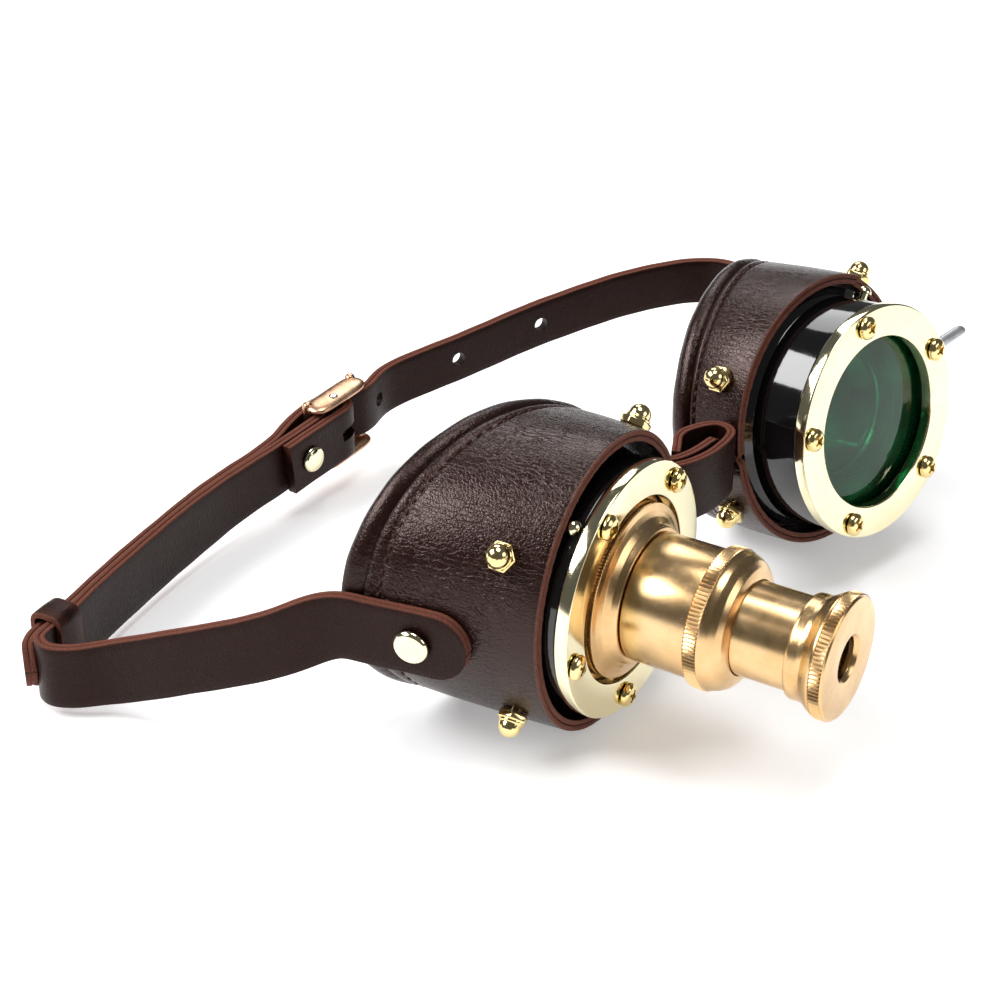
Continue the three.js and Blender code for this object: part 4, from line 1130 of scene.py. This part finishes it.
def add_straps():
    curve_a = strap_a_curve()
    curve_b = strap_b_curve(curve_a)

    def width_a(from_tip, from_flap):
        spare = STRAP_A_WIDTH - STRAP_A_FOLD_WIDTH
        body = STRAP_A_FOLD_WIDTH + spare * smooth_step(from_flap, 60, 90)
        return min(body, end_width(STRAP_A_WIDTH, from_tip))

    def width_b(from_tip, from_free):
        return min(end_width(STRAP_B_WIDTH, end) for end in (from_tip, from_free))

    place = BUCKLE_MATRIX @ Matrix.Translation((0.9, BAR_OUT, 0))
    window = block("window", (7.2, 9, 3.2), place, BLACK)
    thick = STRAP_THICK + SKIN
    add_strap("strap_a_leather", "strap_a", curve_a, width_a, thick, [window], STRAP_A_WIDTH)
    tools = [drill("prong_way", (0, BAR_OUT, 0), (10.9, 3.7, 0), 1.2, BUCKLE_MATRIX)]
    for x, y in ((3.1, 128), (30.2, 122.8), (55.5, 115.4)):
        place = np.array((x + SHIFT.x, y + SHIFT.y))
        at, _, _, out = curve_b.frame(nearest(curve_b, place))
        tools.append(drill("punch", at - 4 * out, at + 4 * out, PUNCH_RADIUS))
    add_strap("strap_b_leather", "strap_b", curve_b, width_b, thick, tools, STRAP_B_WIDTH)
    add_keeper(curve_a)


def add_bridge():
    """The nose bridge: one folded strap, its route seen from above."""
    plan = [
        (6.2, 18.6), (3, 18.4), (-0.5, 18.2), (-5, 18.4), (-8.4, 19.5), (-10, 22), (-9.7, 25),
        (-9.2, 27.9), (-9.6, 28.9), (-10.55, 29.3), (-11.5, 28.9), (-11.9, 27.9), (-12.5, 24.6),
        (-13.1, 21), (-11.2, 17.8), (-7, 15.8), (-1.5, 15.1), (4.2, 15.5), (8.5, 16.5), (11, 17.8),
        (12.2, 20), (11.8, 22.3), (9.8, 24), (6.8, 25.3), (3.6, 25.8), (0.8, 25.1), (-2, 23.2),
        (-4.6, 21.5),
    ]
    curve = Curve([Vector((x, y, BRIDGE_HEIGHT)) + SHIFT for x, y in plan])
    soft = 1.2

    def width(from_start, from_end):
        return BRIDGE_WIDTH - soft * (1 - smooth_step(min(from_start, from_end), 0, soft))

    add_strap("bridge_leather", "nose_bridge", curve, width, BRIDGE_THICK, [], 2)


def add_buckle():
    """The buckle's frame: two rounded plates joined by two rods whose domed ends stand just proud."""
    left, right, inside, arm = -7.8, 11.3, 7.2, 2.4
    low, high = -5.2, 2.0
    rod, proud = 1.3, 0.3
    around, stations = 32, 40
    plates = []
    for side in (1, -1):
        points = []
        for i in range(stations + 1):
            share = math.sin(math.pi / 2 * (-1 + 2 * i / stations))
            swell = max(0.15, max(0.0, 1 - abs(share) ** 6) ** 0.5)
            x = (left + right) / 2 + (right - left) / 2 * share
            for j in range(around):
                turn = 2 * math.pi * j / around
                c, d = math.cos(turn), math.sin(turn)
                y = (low + high) / 2 + (high - low) / 2 * swell * math.copysign(abs(c) ** 0.9, c)
                z = side * (inside + arm / 2) + arm / 2 * swell * math.copysign(abs(d) ** 0.85, d)
                points.append((x, y, z))
        faces = tube_faces(stations + 1, around)
        plates.append(make("buckle_plates", points, faces, COPPER, BUCKLE_MATRIX, merge=False))
    piece = plates[0]
    unite(piece, plates[1], 40)
    end = inside + arm
    upper = [(rod, end - proud), (0.8, end + 0.2), (0, end + proud)]
    outline = [(radius, -height) for radius, height in reversed(upper)] + upper
    for x in (left + rod, right - rod):
        place = BUCKLE_MATRIX @ Matrix.Translation((x, 0.6, 0))
        unite(piece, lathe("side_rod", outline, COPPER, place, corner=0.3, segments=40, sharp=60), 40)
    reach = 18
    carve(piece, [drill("bar_way", (0, BAR_OUT, -reach), (0, BAR_OUT, reach), BAR_HOLE, BUCKLE_MATRIX)])
    stand_for(piece, "buckle_frame")


# ---- Assembly ----


def add_stage():
    mesh = bpy.data.meshes.new("floor")
    corners = [(x * FLOOR_REACH, y * FLOOR_REACH, 0) for x, y in ((-1, -1), (1, -1), (1, 1), (-1, 1))]
    mesh.from_pydata(corners, [], [(0, 1, 2, 3)])
    mesh.materials.append(floor_material())
    floor = new_object("floor", mesh)
    floor.location.z = FLOOR_LEVEL
    world = bpy.data.worlds.new("studio")
    world.use_nodes = True
    background = world.node_tree.nodes["Background"]
    background.inputs["Color"].default_value = WHITE
    background.inputs["Strength"].default_value = 0.1
    bpy.context.scene.world = world
    bpy.context.scene.view_settings.view_transform = "Standard"
    for light in LIGHTS:
        add_light(*light)


def add_cups():
    screw, nut, stud = screw_mesh(), cap_nut_mesh(), stud_mesh()
    cap = rivet_mesh(3.9, 1.4)
    for cup, material in ((SCOPE, SCOPE_LEATHER), (SHADE, SHADE_LEATHER)):
        add_cup_leather(cup, material)
        add_roll(cup)
        add_stitching(cup)
        add_housing(cup)
        add_bezel(cup)
        add_fasteners(cup, screw, nut, stud, cap)
    place = Matrix.Translation((-14.5, -5.6 - STRAP_THICK / 2 - GAP, 0))
    put(rivet_mesh(3.4, 1.3), "fold_rivet", BUCKLE_MATRIX @ place @ rotation(90, "X"))


def add_kept_parts():
    """Hard CAD nodes whose shape is right, with rounded edges and their finish."""
    refine("buckle_prong", COPPER, 0.3)
    refine("buckle_bar", STEEL, 0.2)
    refine("bridge_rivet_scope", GILT, 0.2)
    refine("bridge_rivet_shade", GILT, 0.2)
    refine("shade_iris_plate", BLUED, 0.1)
    refine("shade_iris_retainer", BLUED, 0.1)
    for i in range(6):
        refine(f"shade_iris_blade_{i + 1}", BLUED, 0.05)


add_camera()
add_stage()
add_cups()
add_telescope()
add_green_lens()
add_lever()
add_straps()
add_bridge()
add_buckle()
add_kept_parts()
